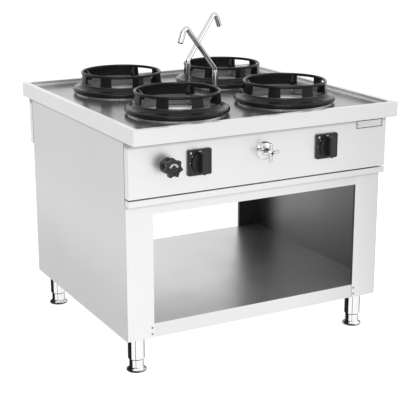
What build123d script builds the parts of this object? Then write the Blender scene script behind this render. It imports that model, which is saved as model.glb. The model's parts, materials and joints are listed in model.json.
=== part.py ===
from build123d import *
import os
from math import acos, cos, degrees, radians, sin, tan

# Double-sided gas wok range: a stainless cabinet on four legs, a recessed hob top with four
# cast wok rings, two swivel faucets and a control panel on each long side.
# Millimetres. +X right, +Y from the front panel to the rear one, +Z up.
# Origin: the centre of the footprint, on the floor.

# ---- overall ----
TOP_WIDTH = 1000.0
TOP_DEPTH = 1000.0
HOB_HEIGHT = 850.0
APRON_HEIGHT = 50.0
BODY_WIDTH = 990.0
CARCASS_DEPTH = 830.0
PANEL_STANDOFF = 30.0          # control panels stand this far in front of the carcass
CABINET_BOTTOM = 126.0
SHEET = 1.5
HOB_SHEET = 2.0
EPS = 1.0                      # cutters run this far past the face they cut

# ---- hob pan ----
RIM_WIDTH = 20.0
UPPER_DROP = 12.0
LEDGE_WIDTH = 12.0
LOWER_DROP = 6.0
RIM_CORNER_RADIUS = 14.0
PAN_CORNER_RADIUS = 22.0
HEM_WIDTH_SIDE = 30.0
HEM_WIDTH_FRONT = 75.0
BEAD_OUTER_RADIUS = 168.0
BEAD_WIDTH = 12.0
BEAD_HEIGHT = 6.0
SEAT_LAP = 4.0                 # the pan's sheet runs this far in under a bead
BURNER_OPENING_RADIUS = 115.0
COLLAR_HEIGHT = 4.0

# ---- wok rings ----
RING_X = 212.0
RING_Y = 228.0
RING_HEIGHT = 74.0
RING_RIM_RADIUS = 147.0
RING_FLANGE_RADIUS = 178.0
RING_WALL = 8.5
RING_SEAT_GAP = 0.3
RING_SPIGOT_GAP = 1.0
RING_SPIGOT_DEPTH = 4.0
RING_SPIGOT_WALL = 6.0
RING_SPIGOT_HEIGHT = 13.0      # inner corner of the spigot above the flange's underside
RING_FOOT_EDGE = 5.0           # the flange's lower edge, in from its widest point
RING_FOOT_SHOULDER = 9.0
RING_FOOT_MIDDLE = 7.5
RING_FOOT_HEIGHT = 18.0
RING_WAIST_FLARE = 9.5
RING_WAIST_HEIGHT = 22.5
RING_NECK_FLARE = 2.5
RING_NECK_HEIGHT = 32.0
RING_LIP_TAPER = 0.8
RING_LIP_DROP = 9.0
RING_LIP_MIDDLE = 3.0
RING_LIP_WIDTH = 4.0
RING_INNER_LIP_TAPER = 0.7
RING_INNER_LIP_DROP = 7.0
RING_INNER_LIP_CROWN = 0.3
RING_INNER_LIP_MIDDLE = 1.8
RING_BORE_FLARE = 1.0
RING_BORE_HEIGHT = 34.0
RING_BORE_WAIST = 4.3
RING_BORE_WAIST_HEIGHT = 23.0
WINDOW_PITCH = 46.0            # degrees between windows, measured round from the front
WINDOW_COUNT = 6
WINDOW_WIDTH = 75.0
WINDOW_HEIGHT = 31.0
WINDOW_DROP = 9.5              # rim top to the upper edge of a window
WINDOW_CORNER = 2.5
LUG_ANGLES = (45, 135, 225, 315)
LUG_WIDTH = 11.0
LUG_REACH = 21.0               # how far a lug stands in from the inner wall
LUG_TOP_DROP = 8.0
LUG_FOOT_RISE = 2.0            # a lug ends this far above the seat

# ---- faucets ----
FAUCET_Y = 103.0
RISER_RADIUS = 10.0
RISER_TOP = 938.0
SPOUT_RADIUS = 8.5
SPOUT_BEND_HEIGHT = 949.0
SPOUT_INSERT = 40.0
SPOUT_PEAK_REACH = 165.0
SPOUT_PEAK_HEIGHT = 1113.0
SPOUT_TIP_LEAN = 25.6          # degrees the nozzle leans outward from straight down
SPOUT_TIP_STRAIGHT = 31.0      # straight tube below the upper bend
SPOUT_LOWER_BEND = 24.0
SPOUT_UPPER_BEND = 16.0
SPOUT_YAW = 24.0               # rest direction, degrees past the crosswise line
NOZZLE_RADIUS = 10.0
NOZZLE_LENGTH = 38.0
NOZZLE_LIP = 8.0               # the nozzle ends this far past the tube
NOZZLE_WALL = 2.5
NOZZLE_RECESS = 5.0
SHANK_NUT_HEIGHT = 10.0
SHANK_NUT_STEP = 7.0
FAUCET_FLANGE_RADIUS = 24.0
FAUCET_FLANGE_HEIGHT = 8.0
SHANK_BOTTOM = 786.0
PIVOT_GAP = 0.05               # radial gap of every turning shaft in its bore

# ---- control panels and trim ----
FRONT_PANEL_BOTTOM = 616.0
REAR_PANEL_BOTTOM = 655.0
GROOVE = 5.0
TRIM_HEIGHT = 20.0
SWITCH_X = 245.0
SWITCH_Z = 713.0
STAR_X = 360.0
STAR_Z = 715.0
TAP_Z = 723.0
PANEL_HOLE_GAP = 0.4
SWITCH_PLATE_SIZE = 86.0
SWITCH_PLATE_DEPTH = 8.0
SWITCH_PLATE_CORNER = 6.0
DIAL_RADIUS = 31.0
DIAL_DEPTH = 8.0
DIAL_RECESS = 1.5
GRIP_LENGTH = 72.0
GRIP_WIDTH = 17.0
GRIP_DEPTH = 26.0
KNOB_GAP = 0.5
SPINDLE_RADIUS = 4.0
VALVE_COLLAR_RADIUS = 8.0
STAR_LOBES = 7
STAR_TIP_RADIUS = 34.0
STAR_NOTCH_RADIUS = 25.0
STAR_THICKNESS = 18.0
STAR_STANDOFF = 34.0
STAR_BEZEL_RADIUS = 26.0
STAR_BEZEL_DEPTH = 13.0
BONNET_RADIUS = 12.0
BONNET_DEPTH = 10.0            # bonnets and collars reach this far behind the panel's face
VALVE_FACE_GAP = 8.0           # valve bodies start this far behind the panel's face
STAR_BODY_HALF = 17.0
TAP_BODY_HALF = 18.0
HANDLE_SPINDLE_RADIUS = 5.0
ROSETTE_RADIUS = 30.5
ROSETTE_DEPTH = 12.0
CROSS_SPAN = 66.0
CROSS_ROD_RADIUS = 5.5
CROSS_STANDOFF = 41.0
NAMEPLATE_WIDTH = 109.0
NAMEPLATE_HEIGHT = 28.0
NAMEPLATE_DEPTH = 1.0
NAMEPLATE_X = 424.0
NAMEPLATE_Z = 772.0

# ---- cabinet ----
OPENING_WIDTH = 794.0
OPENING_TOP = 550.0
FLOOR_TOP = 174.0
STILE_RETURN = 12.0
RAIL_TAB = 15.0
RAIL_FLANGE = 14.0
TOP_RAIL_LAP = 15.0            # the top rail runs this far up behind the control panel
SIDE_FLANGE = 12.0
SHIELD_BOTTOM = 588.0
SCREW_X = 404.0
SCREW_HEIGHTS = (139.0, 161.0)
SCREW_SHANK_RADIUS = 2.0
SCREW_HEAD_RADIUS = 3.6
SCREW_HEAD_DEPTH = 1.6
SCREW_HOLE_GAP = 0.1

# ---- legs ----
LEG_X = 440.0
LEG_Y = 361.0
LEG_TUBE_RADIUS = 28.0
LEG_TUBE_WALL = 1.5
LEG_TUBE_BOTTOM = 44.0
FOOT_GAP = 4.0
FOOT_RADIUS = 24.0
FOOT_FLANGE_RADIUS = 33.5
FOOT_FLANGE_HEIGHT = 4.0
FOOT_FLARE_HEIGHT = 14.0
FOOT_STUD_RADIUS = 8.0
FOOT_STUD_TOP = 105.0
INSERT_HEIGHT = 26.0
GUSSET_THICKNESS = 3.0
GUSSET_WIDTH = 100.0
GUSSET_DEPTH = 87.0

# ---- burners, gas and water ----
BOWL_FLANGE_RADIUS = 135.0
BOWL_TOP_RADIUS = 120.0
BOWL_BOTTOM_RADIUS = 90.0
BOWL_DEPTH = 75.0
BURNER_NECK_RADIUS = 30.0
BURNER_RADIUS = 62.0
BURNER_TOP_DROP = 18.0         # burner face below the pan floor
BURNER_SLOTS = 24
BURNER_SEAT_WIDTH = 6.0
BURNER_SEAT_HEIGHT = 5.0
BURNER_STEM_HEIGHT = 16.0
BURNER_FLARE_HEIGHT = 27.0
BURNER_SKIRT_HEIGHT = 32.0
BURNER_SKIRT_CHAMFER = 4.0
BURNER_THROAT_HEIGHT = 18.0
BURNER_WALL = 10.0
BURNER_TOP_WALL = 8.0
BURNER_TOP_SLOPE = 4.0         # the roof inside falls this much from the middle to the wall
BURNER_CROWN_WIDTH = 6.0
BURNER_CROWN_DROP = 3.0
BURNER_FLAT_RADIUS = 20.0
SLOT_LENGTH = 9.0
SLOT_WIDTH = 3.0
SLOT_DEPTH = 14.0
PORT_RADIUS = 2.0
PORT_DEPTH = 16.0
NECK_DROP = 12.0               # the burner's neck reaches this far below its seat
MIXING_TUBE_RADIUS = 21.0
MIXING_TUBE_WALL = 3.0
MIXING_Z = 698.0
MIXING_MOUTH_Y = 338.0
VALVE_BODY_WIDTH = 44.0
VALVE_BODY_BACK = 375.0
VALVE_BODY_BOTTOM = 690.0
VALVE_BODY_TOP = 734.0
INJECTOR_RADIUS = 7.0
MANIFOLD_RADIUS = 13.35
MANIFOLD_WALL = 2.6
MANIFOLD_Y = 385.0
MANIFOLD_Z = 655.0
MANIFOLD_CROSS_INSET = 55.0    # crossing pipe in from the right side's outer face
MANIFOLD_END = 18.0            # closed end past the last valve
MANIFOLD_BEND = 30.0
TEE_RADIUS = 17.0
BOSS_RADIUS = 10.0
BOSS_TOP = 672.0
GAS_INLET_Y = -80.0
WATER_INLET_Y = 80.0
WATER_RADIUS = 8.0
WATER_INLET_RADIUS = 10.65
WATER_WALL = 1.5
WATER_BEND = 16.0
WATER_Z = 770.0
WATER_CROSS_INSET = 37.0
WATER_RUN_Y = 390.0
FEED_RADIUS = 7.0
FEED_WALL = 1.0
FEED_DROP = 10.0               # feed tube below the tap's axis, clear of the pilot tube
DRAIN_RADIUS = 20.0
DRAIN_WALL = 2.0
DRAIN_Z = 735.0
DRAIN_BEND = 32.0
DRAIN_FLANGE_RADIUS = 30.0
PILOT_RADIUS = 3.0
PILOT_WALL = 0.8
PILOT_Z = 728.0
PILOT_RUN_Y = 344.0
PILOT_OFFSET = 70.0            # pilot tip from the burner's centre
PIPE_HOLE_GAP = 0.5
PIPE_REACH = 5.0               # pipe ends stand this far out of the right side
PIPE_END = 12.0                # bare end of a pipe past its collar
PIPE_COLLAR = 3.0              # a collar is this much wider than its pipe, on the radius
DRAIN_COLLAR_LENGTH = 18.0
SLEEVE_ROOM = 8.0              # room round a pipe end in the side panel, for the mating sleeve

# ---- derived places ----
HALF_W = TOP_WIDTH / 2
HALF_D = TOP_DEPTH / 2
APRON_BOTTOM = HOB_HEIGHT - APRON_HEIGHT
BODY_X = BODY_WIDTH / 2
CARCASS_Y = CARCASS_DEPTH / 2
PANEL_Y = CARCASS_Y + PANEL_STANDOFF
LEDGE_TOP = HOB_HEIGHT - UPPER_DROP
PAN_FLOOR = LEDGE_TOP - LOWER_DROP
PAN_UNDER = PAN_FLOOR - HOB_SHEET
UPPER_HALF_W = HALF_W - RIM_WIDTH
UPPER_HALF_D = HALF_D - RIM_WIDTH
PAN_HALF_W = UPPER_HALF_W - LEDGE_WIDTH
PAN_HALF_D = UPPER_HALF_D - LEDGE_WIDTH
SEAT_Z = PAN_FLOOR + BEAD_HEIGHT
BEAD_INNER_RADIUS = BEAD_OUTER_RADIUS - BEAD_WIDTH
OPENING_X = OPENING_WIDTH / 2
INNER_X = BODY_X - SHEET       # inner faces of the side panels
MANIFOLD_CROSS_X = BODY_X - MANIFOLD_CROSS_INSET
WATER_CROSS_X = BODY_X - WATER_CROSS_INSET
PIPE_END_X = BODY_X + PIPE_REACH
STILE_BACK = CARCASS_Y - SHEET
TAP_BODY_BACK = WATER_RUN_Y - WATER_RADIUS - 2.0
NECK_BOTTOM = PAN_UNDER - BOWL_DEPTH + HOB_SHEET - NECK_DROP
HANDLE_DEPTH = PANEL_STANDOFF - VALVE_FACE_GAP
RINGS = {"fl": (-RING_X, -RING_Y), "fr": (RING_X, -RING_Y),
         "rl": (-RING_X, RING_Y), "rr": (RING_X, RING_Y)}


def block(x0, x1, y0, y1, z0, z1):
    return Pos((x0 + x1) / 2, (y0 + y1) / 2, (z0 + z1) / 2) * Box(abs(x1 - x0), abs(y1 - y0), abs(z1 - z0))


def post(radius, z0, z1, x=0.0, y=0.0):
    return Pos(x, y, (z0 + z1) / 2) * Cylinder(radius, z1 - z0)


def rounded_block(half_x, half_y, corner, z0, z1):
    return Pos(0, 0, z0) * extrude(RectangleRounded(2 * half_x, 2 * half_y, corner), amount=z1 - z0)


def lathe(points):
    """Turn a closed outline of (radius, height) points about Z."""
    return revolve(Plane.XZ * make_face(Polyline(*points, close=True)), axis=Axis.Z)


def turned(shape):
    """The same piece on the rear side, half a turn round the centre."""
    return Rot(0, 0, 180) * shape


def on_panel(shape, x, z):
    """Place a piece built with +Z outward from the front face of the front panel."""
    return Pos(x, -PANEL_Y, z) * Rot(90, 0, 0) * shape


def run(points, radius, bend):
    """A round bar along straight runs joined by arcs."""
    path = FilletPolyline(*points, radius=bend) if len(points) > 2 else Line(*points)
    return sweep(Plane(origin=path @ 0, z_dir=path % 0) * Circle(radius), path=path)


def straight(start, direction, length, radius):
    return extrude(Plane(origin=start, z_dir=direction) * Circle(radius), amount=length)


def elbow(corner, ahead, onward, bend, radius):
    """The bend of a round bar that turns from one direction to another."""
    turn = acos(ahead.dot(onward))
    start = corner - ahead * setback(ahead, onward, bend)
    centre = corner + (onward - ahead).normalized() * (bend / cos(turn / 2))
    section = Plane(origin=start, z_dir=ahead) * Circle(radius)
    return revolve(section, axis=Axis(centre, ahead.cross(onward)), revolution_arc=degrees(turn))


def setback(ahead, onward, bend):
    """How far before its corner a bend starts."""
    return bend * tan(acos(ahead.dot(onward)) / 2)


def along_x(radius, x0, x1, y, z):
    """A cylinder along X."""
    return Pos((x0 + x1) / 2, y, z) * Rot(0, 90, 0) * Cylinder(radius, x1 - x0)


def pipe_end(radius, start, y, z):
    """Collar inside the right side panel and the bare end that stands out past it."""
    return (along_x(radius + PIPE_COLLAR, start, PIPE_END_X - PIPE_END, y, z)
            + along_x(radius, start, PIPE_END_X, y, z))


def pipe(paths, radius, wall, bend):
    """Branched pipe: every path is a run of the same tube."""
    outer = [run(points, radius, bend) for points in paths]
    inner = [run(points, radius - wall, bend) for points in paths]
    solid = outer[0]
    for part in outer[1:]:
        solid = solid + part
    for part in inner:
        solid = solid - part
    return solid


def save(name, shape):
    solids = shape if isinstance(shape, list) else [shape]
    loose = [solid for part in solids for solid in part.solids()]
    export_step(Compound(children=loose) if len(loose) > 1 else loose[0], f"parts/{name}.step")


# ---- hob ----
def hob_frame():
    shell = block(-HALF_W, HALF_W, -HALF_D, HALF_D, APRON_BOTTOM, HOB_HEIGHT)
    under_w = HALF_W - HOB_SHEET
    under_d = HALF_D - HOB_SHEET
    under = block(-under_w, under_w, -under_d, under_d, APRON_BOTTOM + HOB_SHEET, HOB_HEIGHT - HOB_SHEET)
    wall = rounded_block(UPPER_HALF_W + HOB_SHEET, UPPER_HALF_D + HOB_SHEET, RIM_CORNER_RADIUS + HOB_SHEET,
                         LEDGE_TOP - HOB_SHEET, HOB_HEIGHT)
    pocket = rounded_block(UPPER_HALF_W, UPPER_HALF_D, RIM_CORNER_RADIUS, LEDGE_TOP, HOB_HEIGHT + EPS)
    mouth = rounded_block(PAN_HALF_W, PAN_HALF_D, PAN_CORNER_RADIUS, APRON_BOTTOM, HOB_HEIGHT)
    hem_x = HALF_W - HEM_WIDTH_SIDE
    hem_y = HALF_D - HEM_WIDTH_FRONT
    hem_mouth = block(-hem_x, hem_x, -hem_y, hem_y, APRON_BOTTOM - EPS, APRON_BOTTOM + HOB_SHEET + EPS)
    lower_wall = rounded_block(PAN_HALF_W, PAN_HALF_D, PAN_CORNER_RADIUS, PAN_FLOOR, LEDGE_TOP)
    lower_wall = lower_wall - rounded_block(PAN_HALF_W - HOB_SHEET, PAN_HALF_D - HOB_SHEET,
                                            PAN_CORNER_RADIUS - HOB_SHEET, PAN_FLOOR - EPS, LEDGE_TOP + EPS)
    return shell - (under - wall) - pocket - mouth - hem_mouth + lower_wall


def hob_pan():
    """Flat floor sheet; the lower wall of the frame stands on its edge."""
    pan = rounded_block(PAN_HALF_W, PAN_HALF_D, PAN_CORNER_RADIUS, PAN_UNDER, PAN_FLOOR)
    seat_hole = BEAD_OUTER_RADIUS - HOB_SHEET - SEAT_LAP
    holes = [(seat_hole, x, y) for x, y in RINGS.values()]
    holes += [(RISER_RADIUS + PANEL_HOLE_GAP, 0, -FAUCET_Y), (RISER_RADIUS + PANEL_HOLE_GAP, 0, FAUCET_Y),
              (DRAIN_RADIUS + PIPE_HOLE_GAP, 0, 0)]
    for radius, x, y in holes:
        pan = pan - post(radius, PAN_UNDER - EPS, PAN_FLOOR + EPS, x, y)
    return pan


def ring_seat(x, y):
    """Pressed ring: the bead that carries a wok ring, the floor inside it and the burner's collar."""
    inner = BEAD_INNER_RADIUS
    outer = BEAD_OUTER_RADIUS
    opening = BURNER_OPENING_RADIUS
    sheet = HOB_SHEET
    seat = lathe([(opening, PAN_UNDER), (inner + sheet, PAN_UNDER), (inner + sheet, SEAT_Z - sheet),
                  (outer - 2 * sheet, SEAT_Z - sheet), (outer - sheet, SEAT_Z - 2 * sheet),
                  (outer - sheet, PAN_FLOOR), (outer, PAN_FLOOR), (outer, SEAT_Z - sheet),
                  (outer - sheet, SEAT_Z), (inner + sheet / 2, SEAT_Z), (inner, SEAT_Z - sheet / 2),
                  (inner, PAN_FLOOR), (opening + sheet, PAN_FLOOR), (opening + sheet, PAN_FLOOR + COLLAR_HEIGHT),
                  (opening, PAN_FLOOR + COLLAR_HEIGHT)])
    return Pos(x, y, 0) * seat


# ---- wok ring ----
def ring_profile():
    top = SEAT_Z + RING_HEIGHT
    base = SEAT_Z + RING_SEAT_GAP
    spigot = BEAD_INNER_RADIUS - RING_SPIGOT_GAP
    foot = RING_FLANGE_RADIUS
    rim = RING_RIM_RADIUS
    inner = rim - RING_WALL
    foot_low = (foot - RING_FOOT_EDGE, base)
    foot_high = (foot - RING_FOOT_SHOULDER, base + RING_FOOT_HEIGHT)
    neck = (rim + RING_NECK_FLARE, base + RING_NECK_HEIGHT)
    rim_low = (rim - RING_LIP_TAPER, top - RING_LIP_DROP)
    rim_top = (rim - RING_LIP_WIDTH, top)
    rim_inner = (inner - RING_INNER_LIP_TAPER, top - RING_INNER_LIP_DROP)
    bore_low = (inner + RING_BORE_FLARE, base + RING_BORE_HEIGHT)
    spigot_inner = (spigot - RING_SPIGOT_WALL, base + RING_SPIGOT_HEIGHT)
    spigot_bottom = SEAT_Z - RING_SPIGOT_DEPTH
    edges = [
        ThreePointArc(foot_low, (foot, base + RING_FOOT_MIDDLE), foot_high),
        ThreePointArc(foot_high, (rim + RING_WAIST_FLARE, base + RING_WAIST_HEIGHT), neck),
        Line(neck, rim_low),
        ThreePointArc(rim_low, (rim, top - RING_LIP_MIDDLE), rim_top),
        ThreePointArc(rim_top, (inner + RING_INNER_LIP_CROWN, top - RING_INNER_LIP_MIDDLE), rim_inner),
        Line(rim_inner, bore_low),
        ThreePointArc(bore_low, (inner + RING_BORE_WAIST, base + RING_BORE_WAIST_HEIGHT), spigot_inner),
        Polyline(spigot_inner, (spigot - RING_SPIGOT_WALL, spigot_bottom), (spigot, spigot_bottom),
                 (spigot, base), foot_low),
    ]
    return make_face(edges)


def ring_lug():
    top = SEAT_Z + RING_HEIGHT - LUG_TOP_DROP
    base = SEAT_Z + RING_SEAT_GAP
    wall = RING_RIM_RADIUS - RING_WALL
    tip = wall - LUG_REACH
    foot = base + LUG_FOOT_RISE
    outline = Polyline((-wall - 3.0, top), (-wall + 4.0, top), (-tip, top - 20.0), (-tip, foot + 6.0),
                       (-tip - 6.0, foot), (-wall - 11.0, foot), (-wall - 4.0, base + 28.0), close=True)
    return extrude(Plane.YZ * make_face(outline), amount=LUG_WIDTH / 2, both=True)


def wok_ring(x, y):
    body = revolve(Plane.XZ * ring_profile(), axis=Axis.Z)
    window_z = SEAT_Z + RING_HEIGHT - WINDOW_DROP - WINDOW_HEIGHT / 2
    inside = RING_RIM_RADIUS - RING_WALL - 15.0
    cutter = extrude(Plane.XZ.offset(inside) * RectangleRounded(WINDOW_WIDTH, WINDOW_HEIGHT, WINDOW_CORNER),
                     amount=RING_FLANGE_RADIUS - inside)
    for index in range(WINDOW_COUNT):
        angle = (index - (WINDOW_COUNT - 1) / 2) * WINDOW_PITCH
        body = body - Rot(0, 0, angle) * Pos(0, 0, window_z) * cutter
    for angle in LUG_ANGLES:
        body = body + Rot(0, 0, angle) * ring_lug()
    return Pos(x, y, 0) * body


# ---- faucets: built for the front one, at x = 0, y = -FAUCET_Y ----
def faucet_riser():
    flange = lathe([(0, PAN_FLOOR), (FAUCET_FLANGE_RADIUS, PAN_FLOOR),
                    (FAUCET_FLANGE_RADIUS, PAN_FLOOR + FAUCET_FLANGE_HEIGHT / 3),
                    (FAUCET_FLANGE_RADIUS - 6, PAN_FLOOR + FAUCET_FLANGE_HEIGHT),
                    (0, PAN_FLOOR + FAUCET_FLANGE_HEIGHT)])
    tube = post(RISER_RADIUS, SHANK_BOTTOM, RISER_TOP)
    nut = extrude(RegularPolygon(RISER_RADIUS + SHANK_NUT_STEP, 6), amount=SHANK_NUT_HEIGHT)
    nut = Pos(0, 0, PAN_UNDER - SHANK_NUT_HEIGHT) * nut
    socket = post(SPOUT_RADIUS + PIVOT_GAP, RISER_TOP - SPOUT_INSERT - EPS, RISER_TOP + EPS)
    waterway = post(FEED_RADIUS - FEED_WALL, SHANK_BOTTOM - EPS, RISER_TOP - SPOUT_INSERT)
    return Pos(0, -FAUCET_Y, 0) * (flange + tube + nut - socket - waterway)


def faucet_spout():
    bottom = Vector(0, 0, RISER_TOP - SPOUT_INSERT)
    low = Vector(0, 0, SPOUT_BEND_HEIGHT)
    peak = Vector(-SPOUT_PEAK_REACH, 0, SPOUT_PEAK_HEIGHT)
    lean = radians(SPOUT_TIP_LEAN)
    up = Vector(0, 0, 1)
    along = (peak - low).normalized()
    down = Vector(-sin(lean), 0, -cos(lean))
    low_end = setback(up, along, SPOUT_LOWER_BEND)
    peak_end = setback(along, down, SPOUT_UPPER_BEND)
    tip = peak + down * (peak_end + SPOUT_TIP_STRAIGHT)
    tube = straight(bottom, up, (low - bottom).length - low_end, SPOUT_RADIUS)
    tube = tube + elbow(low, up, along, SPOUT_LOWER_BEND, SPOUT_RADIUS)
    tube = tube + straight(low + along * low_end, along, (peak - low).length - low_end - peak_end, SPOUT_RADIUS)
    tube = tube + elbow(peak, along, down, SPOUT_UPPER_BEND, SPOUT_RADIUS)
    tube = tube + straight(peak + down * peak_end, down, SPOUT_TIP_STRAIGHT, SPOUT_RADIUS)
    shoulder = lathe([(0, RISER_TOP + PANEL_HOLE_GAP), (RISER_RADIUS, RISER_TOP + PANEL_HOLE_GAP),
                      (RISER_RADIUS, RISER_TOP + 2), (SPOUT_RADIUS, RISER_TOP + 5), (0, RISER_TOP + 5)])
    start = tip - down * (NOZZLE_LENGTH - NOZZLE_LIP)
    nozzle = straight(start, down, NOZZLE_LENGTH, NOZZLE_RADIUS)
    nozzle = chamfer(nozzle.edges().filter_by(GeomType.CIRCLE), 1.2)
    mouth = straight(start + down * (NOZZLE_LENGTH - NOZZLE_RECESS), down, NOZZLE_RECESS + EPS,
                     NOZZLE_RADIUS - NOZZLE_WALL)
    spout = tube + shoulder + nozzle - mouth
    return Pos(0, -FAUCET_Y, 0) * Rot(0, 0, SPOUT_YAW) * spout


# ---- control panels ----
def control_panel(bottom):
    """Folded channel: face, two side returns, top and bottom flange, open at the back."""
    outer = block(-BODY_X, BODY_X, -PANEL_Y, -CARCASS_Y, bottom, APRON_BOTTOM)
    inner = block(-INNER_X, INNER_X, -PANEL_Y + SHEET, -CARCASS_Y + EPS, bottom + SHEET, APRON_BOTTOM - SHEET)
    panel = outer - inner
    depth = 4 * SHEET
    for x in (-SWITCH_X, SWITCH_X):
        panel = panel - on_panel(Cylinder(VALVE_COLLAR_RADIUS + PANEL_HOLE_GAP, depth), x, SWITCH_Z)
    panel = panel - on_panel(Cylinder(BONNET_RADIUS + PANEL_HOLE_GAP, depth), -STAR_X, STAR_Z)
    return panel - on_panel(Cylinder(BONNET_RADIUS + PANEL_HOLE_GAP, depth), 0, TAP_Z)


def trim_rail(panel_bottom):
    top = panel_bottom - GROOVE
    bottom = top - TRIM_HEIGHT
    outer = block(-BODY_X, BODY_X, -PANEL_Y, -CARCASS_Y, bottom, top)
    inner = block(-INNER_X, INNER_X, -PANEL_Y + SHEET, -CARCASS_Y + EPS, bottom + SHEET, top - SHEET)
    return outer - inner


def switch_plate():
    outline = RectangleRounded(SWITCH_PLATE_SIZE, SWITCH_PLATE_SIZE, SWITCH_PLATE_CORNER)
    plate = extrude(outline, amount=SWITCH_PLATE_DEPTH)
    plate = fillet(plate.edges().group_by(Axis.Z)[-1], 1.5)
    recess = post(DIAL_RADIUS + 2, SWITCH_PLATE_DEPTH - DIAL_RECESS, SWITCH_PLATE_DEPTH + EPS)
    return plate - recess - post(VALVE_COLLAR_RADIUS + EPS, -EPS, SWITCH_PLATE_DEPTH)


def switch_knob():
    base = SWITCH_PLATE_DEPTH - DIAL_RECESS + KNOB_GAP
    dial = post(DIAL_RADIUS, base, base + DIAL_DEPTH)
    dial = fillet(dial.edges().group_by(Axis.Z)[-1], 2.0)
    grip = Pos(0, 0, base + DIAL_DEPTH / 2) * extrude(
        RectangleRounded(GRIP_WIDTH, GRIP_LENGTH, GRIP_WIDTH / 2 - 0.5), amount=GRIP_DEPTH + DIAL_DEPTH / 2)
    grip = fillet(grip.edges().group_by(Axis.Z)[-1], 2.5)
    spindle = post(SPINDLE_RADIUS, -PANEL_STANDOFF, base + DIAL_DEPTH / 2)
    return dial + grip + spindle


def star_wheel():
    step = 360 / STAR_LOBES
    points = []
    for index in range(STAR_LOBES):
        for radius, shift in ((STAR_TIP_RADIUS, 0.0), (STAR_NOTCH_RADIUS, step / 2)):
            angle = radians(90 + index * step + shift)
            points.append((radius * cos(angle), radius * sin(angle)))
    outline = make_face(Polyline(*points, close=True))
    outline = fillet(outline.vertices().group_by(lambda v: round(Vector(v).length, 2))[0], 9.0)
    outline = fillet([v for v in outline.vertices() if Vector(v).length > STAR_TIP_RADIUS - 0.5], 3.0)
    wheel = Pos(0, 0, STAR_STANDOFF) * extrude(outline, amount=STAR_THICKNESS)
    wheel = fillet(wheel.edges().group_by(Axis.Z)[-1], 1.5)
    dish = post(STAR_NOTCH_RADIUS - 6, STAR_STANDOFF + STAR_THICKNESS - 2, STAR_STANDOFF + STAR_THICKNESS + EPS)
    hub = post(BONNET_RADIUS + 2, STAR_BEZEL_DEPTH + KNOB_GAP, STAR_STANDOFF + EPS)
    spindle = post(HANDLE_SPINDLE_RADIUS, -HANDLE_DEPTH, STAR_STANDOFF + EPS)
    return wheel - dish + hub + spindle


def valve_bore(depth):
    return post(HANDLE_SPINDLE_RADIUS + PIVOT_GAP, -HANDLE_DEPTH - EPS, depth)


def star_valve():
    """Round bezel on the panel, bonnet through it and the pilot valve's body behind."""
    bezel = lathe([(BONNET_RADIUS, 0), (STAR_BEZEL_RADIUS, 0), (STAR_BEZEL_RADIUS, STAR_BEZEL_DEPTH - 4),
                   (STAR_BEZEL_RADIUS - 5, STAR_BEZEL_DEPTH), (BONNET_RADIUS, STAR_BEZEL_DEPTH)])
    bonnet = post(BONNET_RADIUS, -BONNET_DEPTH, STAR_BEZEL_DEPTH)
    body = on_panel(bezel + bonnet - valve_bore(STAR_BEZEL_DEPTH + EPS), -STAR_X, STAR_Z)
    half = STAR_BODY_HALF
    box = block(-STAR_X - half, -STAR_X + half, -PANEL_Y + VALVE_FACE_GAP, -VALVE_BODY_BACK, STAR_Z - half,
                STAR_Z + half)
    nipple = post(INJECTOR_RADIUS, BOSS_TOP, STAR_Z - half + EPS, -STAR_X, -MANIFOLD_Y)
    return body + (box - on_panel(valve_bore(0), -STAR_X, STAR_Z)) + nipple


def water_tap():
    """Domed rosette, neck through the panel and the valve body behind."""
    dome = lathe([(BONNET_RADIUS, 0), (ROSETTE_RADIUS, 0), (ROSETTE_RADIUS, 2), (ROSETTE_RADIUS - 4, 6),
                  (ROSETTE_RADIUS - 11, 9.5), (BONNET_RADIUS, ROSETTE_DEPTH)])
    neck = post(BONNET_RADIUS, -BONNET_DEPTH, ROSETTE_DEPTH + 4)
    body = on_panel(dome + neck - valve_bore(ROSETTE_DEPTH + 5), 0, TAP_Z)
    half = TAP_BODY_HALF
    box = block(-half, half, -PANEL_Y + VALVE_FACE_GAP, -TAP_BODY_BACK, TAP_Z - half, TAP_Z + half)
    return body + (box - on_panel(valve_bore(0), 0, TAP_Z))


def cross_handle():
    hub = lathe([(0, ROSETTE_DEPTH + 5), (BONNET_RADIUS - 2, ROSETTE_DEPTH + 5),
                 (BONNET_RADIUS, ROSETTE_DEPTH + 8), (8, CROSS_STANDOFF - 10), (10, CROSS_STANDOFF - 6),
                 (10, CROSS_STANDOFF + 5), (6, CROSS_STANDOFF + 9), (0, CROSS_STANDOFF + 9)])
    spindle = post(HANDLE_SPINDLE_RADIUS, -HANDLE_DEPTH, CROSS_STANDOFF)
    handle = hub + spindle
    rod_length = CROSS_SPAN - 2 * CROSS_ROD_RADIUS
    for turn in (Rot(90, 0, 0), Rot(0, 90, 0)):
        handle = handle + Pos(0, 0, CROSS_STANDOFF) * turn * Cylinder(CROSS_ROD_RADIUS, rod_length)
    for x, y in ((1, 0), (-1, 0), (0, 1), (0, -1)):
        place = Pos(x * rod_length / 2, y * rod_length / 2, CROSS_STANDOFF)
        handle = handle + place * Sphere(CROSS_ROD_RADIUS)
    return handle


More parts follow.
